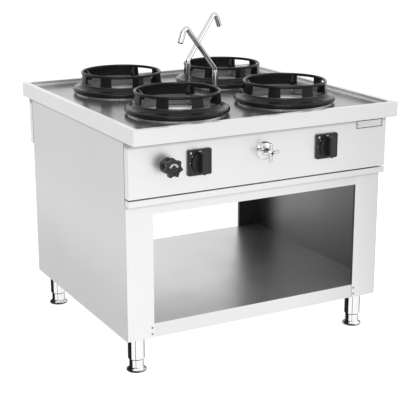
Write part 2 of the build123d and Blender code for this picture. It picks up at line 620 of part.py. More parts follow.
# ---- cabinet ----
def side_panel(sign):
    sheet = block(sign * INNER_X, sign * BODY_X, -CARCASS_Y, CARCASS_Y, CABINET_BOTTOM, APRON_BOTTOM)
    flange_x = INNER_X - SIDE_FLANGE
    reach = STILE_BACK - SHEET
    flange = block(sign * flange_x, sign * INNER_X, -reach, reach, CABINET_BOTTOM, CABINET_BOTTOM + SHEET)
    panel = sheet + flange
    if sign > 0:
        for y, z, radius in ((GAS_INLET_Y, MANIFOLD_Z, MANIFOLD_RADIUS),
                             (WATER_INLET_Y, WATER_Z, WATER_INLET_RADIUS), (0, DRAIN_Z, DRAIN_RADIUS)):
            panel = panel - along_x(radius + SLEEVE_ROOM, INNER_X - EPS, BODY_X + EPS, y, z)
    return panel


def screw_places():
    return [(side * SCREW_X, z) for side in (-1, 1) for z in SCREW_HEIGHTS]


def screw_holes():
    return [Pos(x, -CARCASS_Y, z) * Rot(90, 0, 0) * Cylinder(SCREW_SHANK_RADIUS + SCREW_HOLE_GAP, 6 * SHEET)
            for x, z in screw_places()]


def stile(sign):
    face = block(sign * OPENING_X, sign * INNER_X, -CARCASS_Y, -STILE_BACK, CABINET_BOTTOM, APRON_BOTTOM)
    lip = block(sign * OPENING_X, sign * (OPENING_X + SHEET), -CARCASS_Y, -CARCASS_Y + STILE_RETURN, FLOOR_TOP,
                APRON_BOTTOM)
    part = face + lip
    for hole in screw_holes():
        part = part - hole
    return part


def top_rail(panel_bottom):
    face = block(-OPENING_X, OPENING_X, -CARCASS_Y, -STILE_BACK, OPENING_TOP, panel_bottom + TOP_RAIL_LAP)
    flange = block(-OPENING_X, OPENING_X, -STILE_BACK, -CARCASS_Y + RAIL_FLANGE, OPENING_TOP,
                   OPENING_TOP + SHEET)
    return face + flange


def bottom_rail():
    reach = OPENING_X + RAIL_TAB
    back = STILE_BACK - SHEET
    face = block(-reach, reach, -STILE_BACK, -back, CABINET_BOTTOM, FLOOR_TOP)
    shelf = block(-reach, reach, -back, -back + RAIL_FLANGE, FLOOR_TOP - 2 * SHEET, FLOOR_TOP - SHEET)
    foot = block(-reach, reach, -back, -back + RAIL_FLANGE, CABINET_BOTTOM, CABINET_BOTTOM + SHEET)
    part = face + shelf + foot
    for hole in screw_holes():
        part = part - hole
    return part


def rail_screws():
    screws = []
    for x, z in screw_places():
        head = Pos(0, 0, SCREW_HEAD_DEPTH / 2) * Cylinder(SCREW_HEAD_RADIUS, SCREW_HEAD_DEPTH)
        head = fillet(head.edges().group_by(Axis.Z)[-1], 0.6)
        shank = Pos(0, 0, -4) * Cylinder(SCREW_SHANK_RADIUS, 8)
        screw = Pos(x, -CARCASS_Y, z) * Rot(90, 0, 0) * (head + shank)
        screws += [screw, turned(screw)]
    return screws


def storage_floor():
    reach = STILE_BACK - SHEET
    return block(-INNER_X, INNER_X, -reach, reach, FLOOR_TOP - SHEET, FLOOR_TOP)


def heat_shield():
    reach = CARCASS_Y - STILE_RETURN
    return block(-INNER_X, INNER_X, -reach, reach, SHIELD_BOTTOM, SHIELD_BOTTOM + SHEET)


# ---- legs ----
def leg_places():
    return {"fl": (-LEG_X, -LEG_Y), "fr": (LEG_X, -LEG_Y), "rl": (-LEG_X, LEG_Y), "rr": (LEG_X, LEG_Y)}


def base_gusset(x_sign, y_sign):
    z0 = CABINET_BOTTOM + SHEET
    reach = STILE_BACK - SHEET
    return block(x_sign * (INNER_X - GUSSET_WIDTH), x_sign * INNER_X, y_sign * (reach - GUSSET_DEPTH),
                 y_sign * reach, z0, z0 + GUSSET_THICKNESS)


def leg_tube(x, y):
    top = CABINET_BOTTOM + SHEET
    outer = post(LEG_TUBE_RADIUS, LEG_TUBE_BOTTOM, top, x, y)
    return outer - post(LEG_TUBE_RADIUS - LEG_TUBE_WALL, LEG_TUBE_BOTTOM - EPS, top + EPS, x, y)


def leg_insert(x, y):
    plug = post(LEG_TUBE_RADIUS - LEG_TUBE_WALL, LEG_TUBE_BOTTOM, LEG_TUBE_BOTTOM + INSERT_HEIGHT, x, y)
    return plug - post(FOOT_STUD_RADIUS + PIVOT_GAP, LEG_TUBE_BOTTOM - EPS,
                       LEG_TUBE_BOTTOM + INSERT_HEIGHT + EPS, x, y)


def foot(x, y):
    top = LEG_TUBE_BOTTOM - FOOT_GAP
    flare = FOOT_FLANGE_HEIGHT + FOOT_FLARE_HEIGHT
    edge = (FOOT_FLANGE_RADIUS, FOOT_FLANGE_HEIGHT)
    waist = (FOOT_RADIUS + 3, FOOT_FLANGE_HEIGHT + 5)
    neck = (FOOT_RADIUS, flare)
    outline = [Polyline((0, 0), (FOOT_FLANGE_RADIUS - 1, 0), (FOOT_FLANGE_RADIUS, 1), edge),
               ThreePointArc(edge, waist, neck),
               Polyline(neck, (FOOT_RADIUS, top), (FOOT_STUD_RADIUS, top), (FOOT_STUD_RADIUS, FOOT_STUD_TOP),
                        (0, FOOT_STUD_TOP), (0, 0))]
    return Pos(x, y, 0) * revolve(Plane.XZ * make_face(outline), axis=Axis.Z)


# ---- burners ----
def burner_bowl(x, y):
    top = PAN_UNDER
    bottom = top - BOWL_DEPTH
    wall = HOB_SHEET
    hole = BURNER_NECK_RADIUS + 1
    shell = lathe([(BOWL_BOTTOM_RADIUS, bottom), (BOWL_TOP_RADIUS, top - wall),
                   (BOWL_FLANGE_RADIUS, top - wall), (BOWL_FLANGE_RADIUS, top), (BOWL_TOP_RADIUS - wall, top),
                   (BOWL_BOTTOM_RADIUS - wall, bottom + wall), (hole, bottom + wall), (hole, bottom)])
    pilot_x = -PILOT_OFFSET if y < 0 else PILOT_OFFSET
    shell = shell - post(PILOT_RADIUS + PIPE_HOLE_GAP, bottom - EPS, bottom + wall + EPS, pilot_x, 0)
    return Pos(x, y, 0) * shell


def burner_head(x, y):
    face = PAN_FLOOR - BURNER_TOP_DROP
    seat = PAN_UNDER - BOWL_DEPTH + HOB_SHEET
    neck = BURNER_NECK_RADIUS
    bore = MIXING_TUBE_RADIUS - MIXING_TUBE_WALL
    rim = BURNER_RADIUS
    lip = neck + BURNER_SEAT_WIDTH
    body = lathe([(bore, NECK_BOTTOM), (neck, NECK_BOTTOM), (neck, seat), (lip, seat),
                  (lip, seat + BURNER_SEAT_HEIGHT), (neck, seat + BURNER_SEAT_HEIGHT + 2),
                  (neck, seat + BURNER_STEM_HEIGHT), (rim - BURNER_SKIRT_CHAMFER, seat + BURNER_FLARE_HEIGHT),
                  (rim, seat + BURNER_SKIRT_HEIGHT), (rim, face - BURNER_TOP_WALL),
                  (rim - BURNER_CROWN_WIDTH, face - BURNER_CROWN_DROP), (BURNER_FLAT_RADIUS, face),
                  (0, face), (0, face - BURNER_TOP_WALL),
                  (rim - BURNER_WALL - 2, face - BURNER_TOP_WALL - BURNER_TOP_SLOPE),
                  (rim - BURNER_WALL, seat + BURNER_SKIRT_HEIGHT + 2), (bore, seat + BURNER_THROAT_HEIGHT)])
    slot = block(rim - SLOT_LENGTH, rim + EPS, -SLOT_WIDTH / 2, SLOT_WIDTH / 2, face - SLOT_DEPTH, face - EPS)
    ports = []
    for index in range(BURNER_SLOTS):
        turn = Rot(0, 0, index * 360 / BURNER_SLOTS)
        ports.append(turn * slot)
        ports.append(turn * post(PORT_RADIUS, face - PORT_DEPTH, face + EPS, rim / 2, 0))
    return Pos(x, y, 0) * (body - Compound(children=ports))


def mixing_tube(x_sign):
    """From the burner's neck down and round to the injector (front side)."""
    x = x_sign * RING_X
    points = [(x, -RING_Y, NECK_BOTTOM), (x, -RING_Y, MIXING_Z), (x_sign * SWITCH_X, -MIXING_MOUTH_Y, MIXING_Z)]
    return pipe([points], MIXING_TUBE_RADIUS, MIXING_TUBE_WALL, 24)


# ---- gas and water ----
def gas_valve(x):
    """Valve body behind a switch: collar through the panel, inlet nipple, injector."""
    half = VALVE_BODY_WIDTH / 2
    box = block(x - half, x + half, -PANEL_Y + VALVE_FACE_GAP, -VALVE_BODY_BACK, VALVE_BODY_BOTTOM,
                VALVE_BODY_TOP)
    collar = on_panel(post(VALVE_COLLAR_RADIUS, -BONNET_DEPTH, SWITCH_PLATE_DEPTH / 2), x, SWITCH_Z)
    nipple = post(INJECTOR_RADIUS, BOSS_TOP, VALVE_BODY_BOTTOM + EPS, x, -MANIFOLD_Y)
    injector_tip = MIXING_MOUTH_Y + 6
    injector = Pos(x, -VALVE_BODY_BACK, MIXING_Z) * Rot(-90, 0, 0) * lathe(
        [(0, -EPS), (INJECTOR_RADIUS, -EPS), (INJECTOR_RADIUS, VALVE_BODY_BACK - injector_tip - 8),
         (3, VALVE_BODY_BACK - injector_tip), (0, VALVE_BODY_BACK - injector_tip)])
    bore = post(SPINDLE_RADIUS + PIVOT_GAP, -PANEL_STANDOFF - 2 * EPS, SWITCH_PLATE_DEPTH)
    return box + collar + nipple + injector - on_panel(bore, x, SWITCH_Z)


def gas_manifold():
    """One pipe past the front valves, across on the right and past the rear valves, with the inlet tee."""
    z = MANIFOLD_Z
    front_end = -STAR_X - MANIFOLD_END
    rear_end = -SWITCH_X - MANIFOLD_END
    loop = [(front_end, -MANIFOLD_Y, z), (MANIFOLD_CROSS_X, -MANIFOLD_Y, z),
            (MANIFOLD_CROSS_X, MANIFOLD_Y, z), (rear_end, MANIFOLD_Y, z)]
    solid = pipe([loop], MANIFOLD_RADIUS, MANIFOLD_WALL, MANIFOLD_BEND)
    for x, y in ((front_end, -MANIFOLD_Y), (rear_end, MANIFOLD_Y)):
        solid = solid + along_x(MANIFOLD_RADIUS + MANIFOLD_WALL, x - MANIFOLD_WALL, x + MANIFOLD_WALL, y, z)
    front_taps = [(x, -MANIFOLD_Y) for x in (-STAR_X, -SWITCH_X, SWITCH_X)]
    for x, y in front_taps + [(-x, -y) for x, y in front_taps]:
        solid = solid + post(BOSS_RADIUS, z + MANIFOLD_RADIUS - MANIFOLD_WALL, BOSS_TOP, x, y)
    tee = Pos(MANIFOLD_CROSS_X, GAS_INLET_Y, z)
    sleeve = tee * Rot(90, 0, 0) * Cylinder(TEE_RADIUS, 3 * TEE_RADIUS)
    inlet = pipe_end(MANIFOLD_RADIUS, MANIFOLD_CROSS_X, GAS_INLET_Y, z)
    through = tee * Rot(90, 0, 0) * Cylinder(MANIFOLD_RADIUS - MANIFOLD_WALL, 3 * TEE_RADIUS + 2 * EPS)
    bore = along_x(MANIFOLD_RADIUS - 1.5 * MANIFOLD_WALL, MANIFOLD_CROSS_X, PIPE_END_X + EPS, GAS_INLET_Y, z)
    return solid + sleeve + inlet - through - bore


def pilot_tubes():
    z = PILOT_Z
    tip = PAN_FLOOR - BURNER_TOP_DROP - 6
    near_x = -RING_X - PILOT_OFFSET
    far_x = RING_X - PILOT_OFFSET
    half = 2 * PILOT_RADIUS
    trunk = [(-STAR_X, -VALVE_BODY_BACK, z), (-STAR_X, -PILOT_RUN_Y, z), (far_x, -PILOT_RUN_Y, z),
             (far_x, -RING_Y, z), (far_x, -RING_Y, tip)]
    branch = [(near_x, half - PILOT_RUN_Y, z), (near_x, -RING_Y, z), (near_x, -RING_Y, tip)]
    tee = block(near_x - half, near_x + half, -PILOT_RUN_Y - half, half - PILOT_RUN_Y + EPS, z - half, z + half)
    front = pipe([trunk], PILOT_RADIUS, PILOT_WALL, 9) + pipe([branch], PILOT_RADIUS, PILOT_WALL, 9) + tee
    return [front, turned(front)]


def water_pipes():
    z = WATER_Z
    top = TAP_Z + TAP_BODY_HALF
    runs = []
    for sign in (-1, 1):
        runs.append([(WATER_CROSS_X, 0, z), (WATER_CROSS_X, sign * WATER_RUN_Y, z), (0, sign * WATER_RUN_Y, z),
                     (0, sign * WATER_RUN_Y, top)])
    header = pipe(runs, WATER_RADIUS, WATER_WALL, WATER_BEND)
    bore_radius = WATER_RADIUS - WATER_WALL
    inlet = pipe_end(WATER_INLET_RADIUS, WATER_CROSS_X - WATER_INLET_RADIUS, WATER_INLET_Y, z)
    through = run([(WATER_CROSS_X, 0, z), (WATER_CROSS_X, 2 * WATER_INLET_Y, z)], bore_radius, 0)
    bore = along_x(bore_radius, WATER_CROSS_X, PIPE_END_X + EPS, WATER_INLET_Y, z)
    feed_z = TAP_Z - FEED_DROP
    feed_path = [(0, -TAP_BODY_BACK, feed_z), (0, -FAUCET_Y, feed_z), (0, -FAUCET_Y, SHANK_BOTTOM)]
    feed = pipe([feed_path], FEED_RADIUS, FEED_WALL, WATER_BEND)
    return [header + inlet - through - bore, feed, turned(feed)]


def strainer_hole(radius, angle):
    return post(1.8, PAN_FLOOR - EPS, PAN_FLOOR + HOB_SHEET + EPS, radius * cos(angle), radius * sin(angle))


def drain_pipe():
    top = PAN_FLOOR + HOB_SHEET
    collar_start = PIPE_END_X - PIPE_END - DRAIN_COLLAR_LENGTH
    path = [(0, 0, top), (0, 0, DRAIN_Z), (collar_start + EPS, 0, DRAIN_Z)]
    body = run(path, DRAIN_RADIUS, DRAIN_BEND) + pipe_end(DRAIN_RADIUS, collar_start, 0, DRAIN_Z)
    inside = DRAIN_RADIUS - DRAIN_WALL
    body = body - run(path, inside, DRAIN_BEND) - along_x(inside, collar_start, PIPE_END_X + EPS, 0, DRAIN_Z)
    flange = post(DRAIN_FLANGE_RADIUS, PAN_FLOOR, top)
    for ring_radius, count in ((0, 1), (6.5, 6), (13, 12)):
        for index in range(count):
            flange = flange - strainer_hole(ring_radius, radians(index * 360 / count))
    return body + flange


# ---- the whole range ----
os.makedirs("parts", exist_ok=True)

save("hob_frame", hob_frame())
save("hob_pan", hob_pan())
save("ring_seats", [ring_seat(x, y) for x, y in RINGS.values()])
for place, (ring_x, ring_y) in RINGS.items():
    save(f"wok_ring_{place}", wok_ring(ring_x, ring_y))
save("burner_heads", [burner_head(x, y) for x, y in RINGS.values()])
save("burner_bowls", [burner_bowl(x, y) for x, y in RINGS.values()])
front_tubes = [mixing_tube(sign) for sign in (-1, 1)]
save("mixing_tubes", front_tubes + [turned(tube) for tube in front_tubes])

# Left and right are those of a person who faces that side of the range.
for side, move, panel_bottom in (("front", lambda shape: shape, FRONT_PANEL_BOTTOM),
                                 ("rear", turned, REAR_PANEL_BOTTOM)):
    save(f"control_panel_{side}", move(control_panel(panel_bottom)))
    save(f"trim_rail_{side}", move(trim_rail(panel_bottom)))
    save(f"top_rail_{side}", move(top_rail(panel_bottom)))
    save(f"bottom_rail_{side}", move(bottom_rail()))
    save(f"faucet_riser_{side}", move(faucet_riser()))
    save(f"faucet_spout_{side}", move(faucet_spout()))
    save(f"star_valve_{side}", move(star_valve()))
    save(f"star_wheel_{side}", move(on_panel(star_wheel(), -STAR_X, STAR_Z)))
    save(f"water_tap_{side}", move(water_tap()))
    save(f"cross_handle_{side}", move(on_panel(cross_handle(), 0, TAP_Z)))
    for hand, sign in (("left", -1), ("right", 1)):
        save(f"switch_plate_{side}_{hand}", move(on_panel(switch_plate(), sign * SWITCH_X, SWITCH_Z)))
        save(f"switch_knob_{side}_{hand}", move(on_panel(switch_knob(), sign * SWITCH_X, SWITCH_Z)))
        save(f"stile_{side}_{hand}", move(stile(sign)))

valves = [gas_valve(sign * SWITCH_X) for sign in (-1, 1)]
save("gas_valves", valves + [turned(valve) for valve in valves])
save("gas_manifold", gas_manifold())
save("pilot_tubes", pilot_tubes())
save("water_pipes", water_pipes())
save("drain_pipe", drain_pipe())
save("nameplate", block(NAMEPLATE_X - NAMEPLATE_WIDTH / 2, NAMEPLATE_X + NAMEPLATE_WIDTH / 2,
                        -PANEL_Y - NAMEPLATE_DEPTH, -PANEL_Y, NAMEPLATE_Z - NAMEPLATE_HEIGHT / 2,
                        NAMEPLATE_Z + NAMEPLATE_HEIGHT / 2))
save("side_panel_left", side_panel(-1))
save("side_panel_right", side_panel(1))
save("storage_floor", storage_floor())
save("heat_shield", heat_shield())
save("rail_screws", rail_screws())
save("base_gussets", [base_gusset(sx, sy) for sx in (-1, 1) for sy in (-1, 1)])
save("leg_tubes", [leg_tube(x, y) for x, y in leg_places().values()])
save("leg_inserts", [leg_insert(x, y) for x, y in leg_places().values()])
for place, (leg_x, leg_y) in leg_places().items():
    save(f"foot_{place}", foot(leg_x, leg_y))
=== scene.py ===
import json
import math
import bmesh
import bpy
from mathutils import Matrix, Vector


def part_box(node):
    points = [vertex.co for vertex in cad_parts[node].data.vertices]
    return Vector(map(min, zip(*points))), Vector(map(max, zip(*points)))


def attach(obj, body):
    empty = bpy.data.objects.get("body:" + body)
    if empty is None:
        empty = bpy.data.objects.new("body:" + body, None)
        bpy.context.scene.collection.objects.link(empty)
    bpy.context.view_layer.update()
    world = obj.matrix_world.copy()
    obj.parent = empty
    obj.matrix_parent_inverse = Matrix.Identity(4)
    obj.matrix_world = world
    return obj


# Looks of a double-sided gas wok range: brushed steel sheet, black enamelled rings, chrome water
# fittings, moulded black controls, a white studio and the photograph's camera.
# Metres, in the frame's own axes: +X right, +Y from the front panel to the rear one, +Z up.

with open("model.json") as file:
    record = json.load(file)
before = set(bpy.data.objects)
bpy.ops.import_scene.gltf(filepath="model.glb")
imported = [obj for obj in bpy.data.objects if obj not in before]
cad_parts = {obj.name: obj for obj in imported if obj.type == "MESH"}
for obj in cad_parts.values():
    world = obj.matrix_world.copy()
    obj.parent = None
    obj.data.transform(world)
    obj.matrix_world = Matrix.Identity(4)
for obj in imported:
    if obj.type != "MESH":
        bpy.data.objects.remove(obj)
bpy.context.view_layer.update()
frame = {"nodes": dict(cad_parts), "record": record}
NODES = frame["nodes"]
MM = 0.001

# ---- camera, fitted to the edges of the hob, the cabinet and the feet ----
CAMERA_PLACE = (-1.885186, -3.533814, 1.565931)
CAMERA_YAW = 0.489016          # radians from +Y towards +X
CAMERA_PITCH = 0.273302        # downwards
CAMERA_ROLL = 0.001839
FOCAL_PIXELS = 1120.6
FRAME_PIXELS = 400.0
SENSOR_MM = 36.0
FAR_CLIP = 100.0

# ---- colours, linear ----
WHITE = (1.0, 1.0, 1.0)
STEEL = (0.86, 0.86, 0.868)
# painted shade: the side sheets are the front's steel, coloured darker as the less lit side
SIDE_STEEL_SHADED = (0.74, 0.74, 0.748)
# painted shade: the pan's steel, coloured darker to stand in for the dark reflections in the pan
PAN_STEEL_SHADED = (0.40, 0.40, 0.405)
SEAT_STEEL = (0.62, 0.62, 0.625)
FLOOR_LIGHT = (0.80, 0.80, 0.805)
# painted reflection: the storage floor's colour where it mirrors the dark right-hand wall
FLOOR_PAINTED_DARK = (0.70, 0.70, 0.702)
# painted shade on the storage side of the side panels, lighter at the rear; also scaled for the stiles'
# storage faces
WALL_PAINTED_LIT = (0.30, 0.30, 0.303)
WALL_PAINTED_SHADE = (0.17, 0.17, 0.172)
INNER_STEEL = (0.40, 0.40, 0.41)
CHROME = (0.88, 0.88, 0.89)
ENAMEL = (0.011, 0.011, 0.012)
ENAMEL_EDGE_WEAR_AND_HIGHLIGHT = (0.16, 0.16, 0.163)  # thin, greyer enamel on the sharp edges, raised into a painted highlight along the rim
ENAMEL_INSIDE_SHEEN = (0.19, 0.19, 0.193)  # painted reflection: grey low inside a ring, seen through its windows
KNOB_BLACK = (0.013, 0.013, 0.014)
PLATE_BLACK = (0.010, 0.010, 0.011)
SEAM_GREY = (0.055, 0.055, 0.056)
CHROME_PAINTED_DARK_EDGE = (0.10, 0.10, 0.102)    # painted dark reflection on chrome where it turns away from the eye
EDGE_START = 0.45                 # Facing at which that begins and ends
EDGE_END = 0.85
WHITE_INK = (0.85, 0.85, 0.85)
IRON = (0.38, 0.375, 0.37)
BRASS = (0.62, 0.43, 0.17)
GAS_YELLOW = (0.60, 0.42, 0.05)
RUBBER = (0.012, 0.012, 0.012)

# ---- places in the carried-over solids, read from their boxes ----
SIDE_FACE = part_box("side_panel_right")[1].x
SHEET = 1.5 * MM
WALL_MIDDLE = SIDE_FACE - SHEET / 2        # halfway through the side sheet
CARCASS_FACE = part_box("side_panel_right")[1].y
STILE_SKIN = 0.7 * MM                      # a stile is bright outside this depth
RING_LOW, RING_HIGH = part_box("wok_ring_fr")
RING_AXIS = (RING_LOW + RING_HIGH) / 2
RING_INSIDE = 149.5 * MM                   # from the ring's axis to the inside of its lower wall
RING_INSIDE_TOP = RING_LOW.z + 37 * MM
SCREW_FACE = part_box("rail_screws")[1].y
SCREW_X = 0.404
SCREW_HEIGHTS = (0.139, 0.161)
STAR_AXIS_Z = 0.715
PIPE_STUBS = (                             # name, Y, height, radius, turns of thread
    ("gas_inlet", -0.080, 0.655, 0.01335, 5),
    ("water_inlet", 0.080, 0.770, 0.01065, 6),
    ("drain_outlet", 0.0, 0.735, 0.020, 0),
)
SLEEVE_ROOM = 8.0 * MM                     # between a pipe and the edge of its hole
SEAM_HALF = 1.5 * MM
MARK_SINK = -0.1 * MM                      # printed marks start below the face they lie on
MARK_RISE = 0.25 * MM
SHARP_ANGLE = math.radians(35)

# ---- how light falls off on sheets: axis, start, end, factor reached at the end ----
PANEL_RIGHT = ("X", 0.15, 0.50, 0.88)
PANEL_TOP = ("Z", 0.774, 0.790, 0.42)      # under the overhanging apron
FRAME_RIGHT = ("X", 0.10, 0.50, 0.86)
HOB_RIGHT = ("X", 0.15, 0.50, 0.93)
PAN_MIDDLE = ("X", -0.30, -0.05, 0.84)
SIDE_LOW = ("Z", 0.50, 0.15, 0.74)
SIDE_TOP = ("Z", 0.791, 0.799, 0.35)       # under the apron
RAIL_TOP = ("Z", 0.572, 0.588, 0.6)        # under the trim rail
RAIL_LOW = ("Z", 0.20, 0.16, 0.93)
STILE_RIGHT = ("X", 0.30, 0.50, 0.84)
WALL_FADE = (0.35, -0.35)                  # Y, from the rear of the storage wall to its front, for its painted shade
FLOOR_PAINTED_FADE = (-0.25, 0.40)                 # X, of the painted dark reflection on the storage floor
STILE_FADE = (0.2, 0.5)                    # Z, of the painted shade on a stile's storage face
# share of the painted dark reflection in the storage floor's colour
FLOOR_PAINTED_SHARE = 0.9

# ---- studio ----
STUDIO_DARK = (-0.455, -0.853, 0.256)      # from the range towards the dark end of the room
FLOOR_REACH = 30.0
FLOOR_DIFFUSE = 0.30
FLOOR_GLOW = 0.88
SKY_DIFFUSE = 0.75
FLAG_REACH = 48 * MM                       # from a leg's axis to its black cards
FLAG_ARCS = ((130, 196), (236, 241))       # degrees
FLAG_STEPS = 10
FLAG_FOOT = 2 * MM
FLAG_HEIGHT = 124 * MM
FLOOR_GREY_RIGHT = (0.35, 1.5, 0.24)       # X start, X end and the brightness lost there in mirrors
FLOOR_GREY_LEFT = (-0.55, -1.3, 0.26)
ROOM_DARK_LEFT = (-0.88, -0.62, 0.04)      # start and end of the direction's X, brightness at the start
ROOM_DARK_PATCH = (0.955, 0.985, 0.10)     # start and end of the cosine, brightness at the end
KEY_LAMP = ((-2.2, -3.6, 3.6), (2.6, 1.8), 70)     # place, size and power
FILL_LAMP = ((3.2, -2.4, 2.4), (2.4, 2.4), 15)
LAMP_TARGET = (0, 0, 0.6)

# ---- small pieces ----
PLATE_BAND = 2.6 * MM                      # width of the nameplate's border
PLATE_INSET = 0.2 * MM
RIVET_INSET = 6 * MM
MITRE_END = 0.8 * MM                       # a weld line stops this far inside the rim's corner
MITRE_START = 23 * MM
MITRE_HALF = 0.45 * MM
MITRE_RISE = 0.12 * MM
STAR_MARK_FLOOR = -2.1 * MM                # depth of the wheel's dish
STAR_MARK_TOP = -0.4 * MM
STAR_MARK_MIDDLE = 12.8 * MM               # radius of the tips of the two arrows


# ---- node helpers ----
def new_material(name):
    made = bpy.data.materials.new(name)
    made.use_nodes = True
    return made, made.node_tree, made.node_tree.nodes["Principled BSDF"]


def add(tree, kind, values=None, **settings):
    """A node of that kind; values maps an input's name to a number, a colour or an output to link."""
    made = tree.nodes.new(kind)
    for key, value in settings.items():
        setattr(made, key, value)
    for key, value in (values or {}).items():
        if isinstance(value, bpy.types.NodeSocket):
            tree.links.new(value, made.inputs[key])
        else:
            made.inputs[key].default_value = value
    return made


def object_grid(tree, scale):
    """Object coordinates stretched by the three factors: cells per metre along X, Y and Z."""
    place = add(tree, "ShaderNodeTexCoord").outputs["Object"]
    return add(tree, "ShaderNodeMapping", {"Vector": place, "Scale": scale}).outputs["Vector"]


def noise(tree, scale, detail=4.0, rough=0.55):
    values = {"Vector": object_grid(tree, scale), "Scale": 1.0, "Detail": detail, "Roughness": rough}
    return add(tree, "ShaderNodeTexNoise", values).outputs["Fac"]


def spread(tree, value, low, high, start=0.3, end=0.7):
    """Map a value, by default the middle of a noise, to the range low to high."""
    made = add(tree, "ShaderNodeMapRange", {"Value": value, "From Min": start, "From Max": end,
                                            "To Min": low, "To Max": high})
    return made.outputs["Result"]


def color_mix(tree, factor, **settings):
    """The two colour inputs and the colour output of a new mix node."""
    made = add(tree, "ShaderNodeMix", {"Factor": factor}, data_type="RGBA", **settings)
    inputs = [socket for socket in made.inputs if socket.type == "RGBA"]
    return inputs, [socket for socket in made.outputs if socket.type == "RGBA"][0]


def blend_colors(tree, factor, first, second):
    """Mix two plain colours."""
    inputs, color = color_mix(tree, factor)
    inputs[0].default_value = (*first, 1.0)
    inputs[1].default_value = (*second, 1.0)
    return color


def mixed(tree, factor, first, second, **settings):
    """Mix two colour outputs."""
    inputs, color = color_mix(tree, factor, **settings)
    tree.links.new(first, inputs[0])
    tree.links.new(second, inputs[1])
    return color


def multiplied(tree, first, second):
    return mixed(tree, 1.0, first, second, blend_type="MULTIPLY")


def shade(color, factor):
    return tuple(min(1.0, channel * factor) for channel in color)


def bump(tree, height, strength, distance, below=None):
    values = {"Height": height, "Strength": strength, "Distance": distance}
    if below is not None:
        values["Normal"] = below
    return add(tree, "ShaderNodeBump", values).outputs["Normal"]


GRAIN = {"x": (1, 0, 0), "y": (0, 1, 0), "z": (0, 0, 1)}


def stretched(axis, along, across):
    return tuple(along if keep else across for keep in GRAIN[axis])


def brushed_color(tree, grain, color, streak):
    """Fine brushing and wide faint streaks, as a tint of one colour."""
    return blend_colors(tree, spread(tree, grain, 0.0, 1.0, 0.75, 1.25), shade(color, 1 - streak),
                        shade(color, 1 + streak))


def brushed(name, color, rough, axis, streak=0.012, smudge=0.03, metallic=0.86):
    """Sheet steel: fine brushing and wide faint streaks along one axis, cloudy roughness, wiped marks."""
    made, tree, shader = new_material(name)
    fine = noise(tree, stretched(axis, 6.0, 1500.0), 3.0)
    wide = noise(tree, stretched(axis, 1.2, 85.0), 5.0, 0.6)
    cloud = noise(tree, (4.0, 4.0, 4.0), 4.0)
    grain = add(tree, "ShaderNodeMath", {0: fine, 1: wide}, operation="ADD").outputs[0]
    tree.links.new(brushed_color(tree, grain, color, streak), shader.inputs["Base Color"])
    varied = add(tree, "ShaderNodeMath", {0: spread(tree, cloud, -smudge, smudge),
                                        1: spread(tree, wide, rough - 0.02, rough + 0.02)}, operation="ADD")
    tree.links.new(varied.outputs[0], shader.inputs["Roughness"])
    tree.links.new(bump(tree, fine, 0.06, 0.0002), shader.inputs["Normal"])
    shader.inputs["Metallic"].default_value = metallic
    return made


def place_axis(tree, axis):
    place = add(tree, "ShaderNodeTexCoord").outputs["Object"]
    return add(tree, "ShaderNodeSeparateXYZ", {0: place}).outputs[axis]


def faded(tree, value, start, end, first, second):
    """A colour that runs smoothly from one to the other between two values."""
    made = add(tree, "ShaderNodeMapRange", {"Value": value, "From Min": start, "From Max": end},
               interpolation_type="SMOOTHSTEP")
    return blend_colors(tree, made.outputs["Result"], first, second)


def base_color(material):
    """A material's node tree, its base colour input and the output that feeds it."""
    tree = material.node_tree
    target = tree.nodes["Principled BSDF"].inputs["Base Color"]
    return tree, target, target.links[0].from_socket


def tone(material, *falls):
    """Darken a material smoothly, for each fall, as one coordinate runs from its start to its end."""
    for axis, start, end, factor in falls:
        tree, target, below = base_color(material)
        ramp = faded(tree, place_axis(tree, axis), start, end, WHITE, (factor, factor, factor))
        tree.links.new(multiplied(tree, below, ramp), target)
    return material


def side_sheet(name):
    """Side panel: bright brushed steel outside; on the storage side, painted shade, darker towards the front.
    """
    made = brushed(name, SIDE_STEEL_SHADED, 0.36, "y")
    tree, target, outside = base_color(made)
    across = add(tree, "ShaderNodeMath", {0: place_axis(tree, "X")}, operation="ABSOLUTE").outputs[0]
    inner = add(tree, "ShaderNodeMath", {0: across, 1: WALL_MIDDLE}, operation="LESS_THAN").outputs[0]
    wall = faded(tree, place_axis(tree, "Y"), *WALL_FADE, WALL_PAINTED_LIT, WALL_PAINTED_SHADE)
    tree.links.new(mixed(tree, inner, outside, wall), target)
    return made


def storage_sheet(name):
    """Storage floor: matt brushed sheet with a painted dark reflection of the right-hand wall, darker towards
    that wall.
    """
    made = brushed(name, FLOOR_LIGHT, 0.34, "x", 0.02, 0.04)
    tree, target, floor_unshaded = base_color(made)
    varied = faded(tree, place_axis(tree, "X"), *FLOOR_PAINTED_FADE, FLOOR_LIGHT, FLOOR_PAINTED_DARK)
    tree.links.new(mixed(tree, FLOOR_PAINTED_SHARE, floor_unshaded, varied), target)
    return made


def stile_sheet(name):
    """Corner stile: bright outside; painted shade on the face turned to the storage space, darker higher up.
    """
    made = brushed(name, STEEL, 0.36, "z")
    tree, target, outside = base_color(made)
    depth = add(tree, "ShaderNodeMath", {0: place_axis(tree, "Y")}, operation="ABSOLUTE").outputs[0]
    inside = CARCASS_FACE - STILE_SKIN
    inner = add(tree, "ShaderNodeMath", {0: depth, 1: inside}, operation="LESS_THAN").outputs[0]
    storage_shade = faded(tree, place_axis(tree, "Z"), *STILE_FADE, shade(WALL_PAINTED_LIT, 0.42), shade(WALL_PAINTED_LIT, 0.3))
    tree.links.new(mixed(tree, inner, outside, storage_shade), target)
    return made


def panel_sheet(name):
    """Control panel: a little darker to the right and under the overhanging apron."""
    return tone(brushed(name, STEEL, 0.34, "x"), PANEL_RIGHT, PANEL_TOP)


def frame_sheet(name, *falls):
    """Rails and lips of the folded fronts."""
    return tone(brushed(name, STEEL, 0.34, "x"), FRAME_RIGHT, *falls)


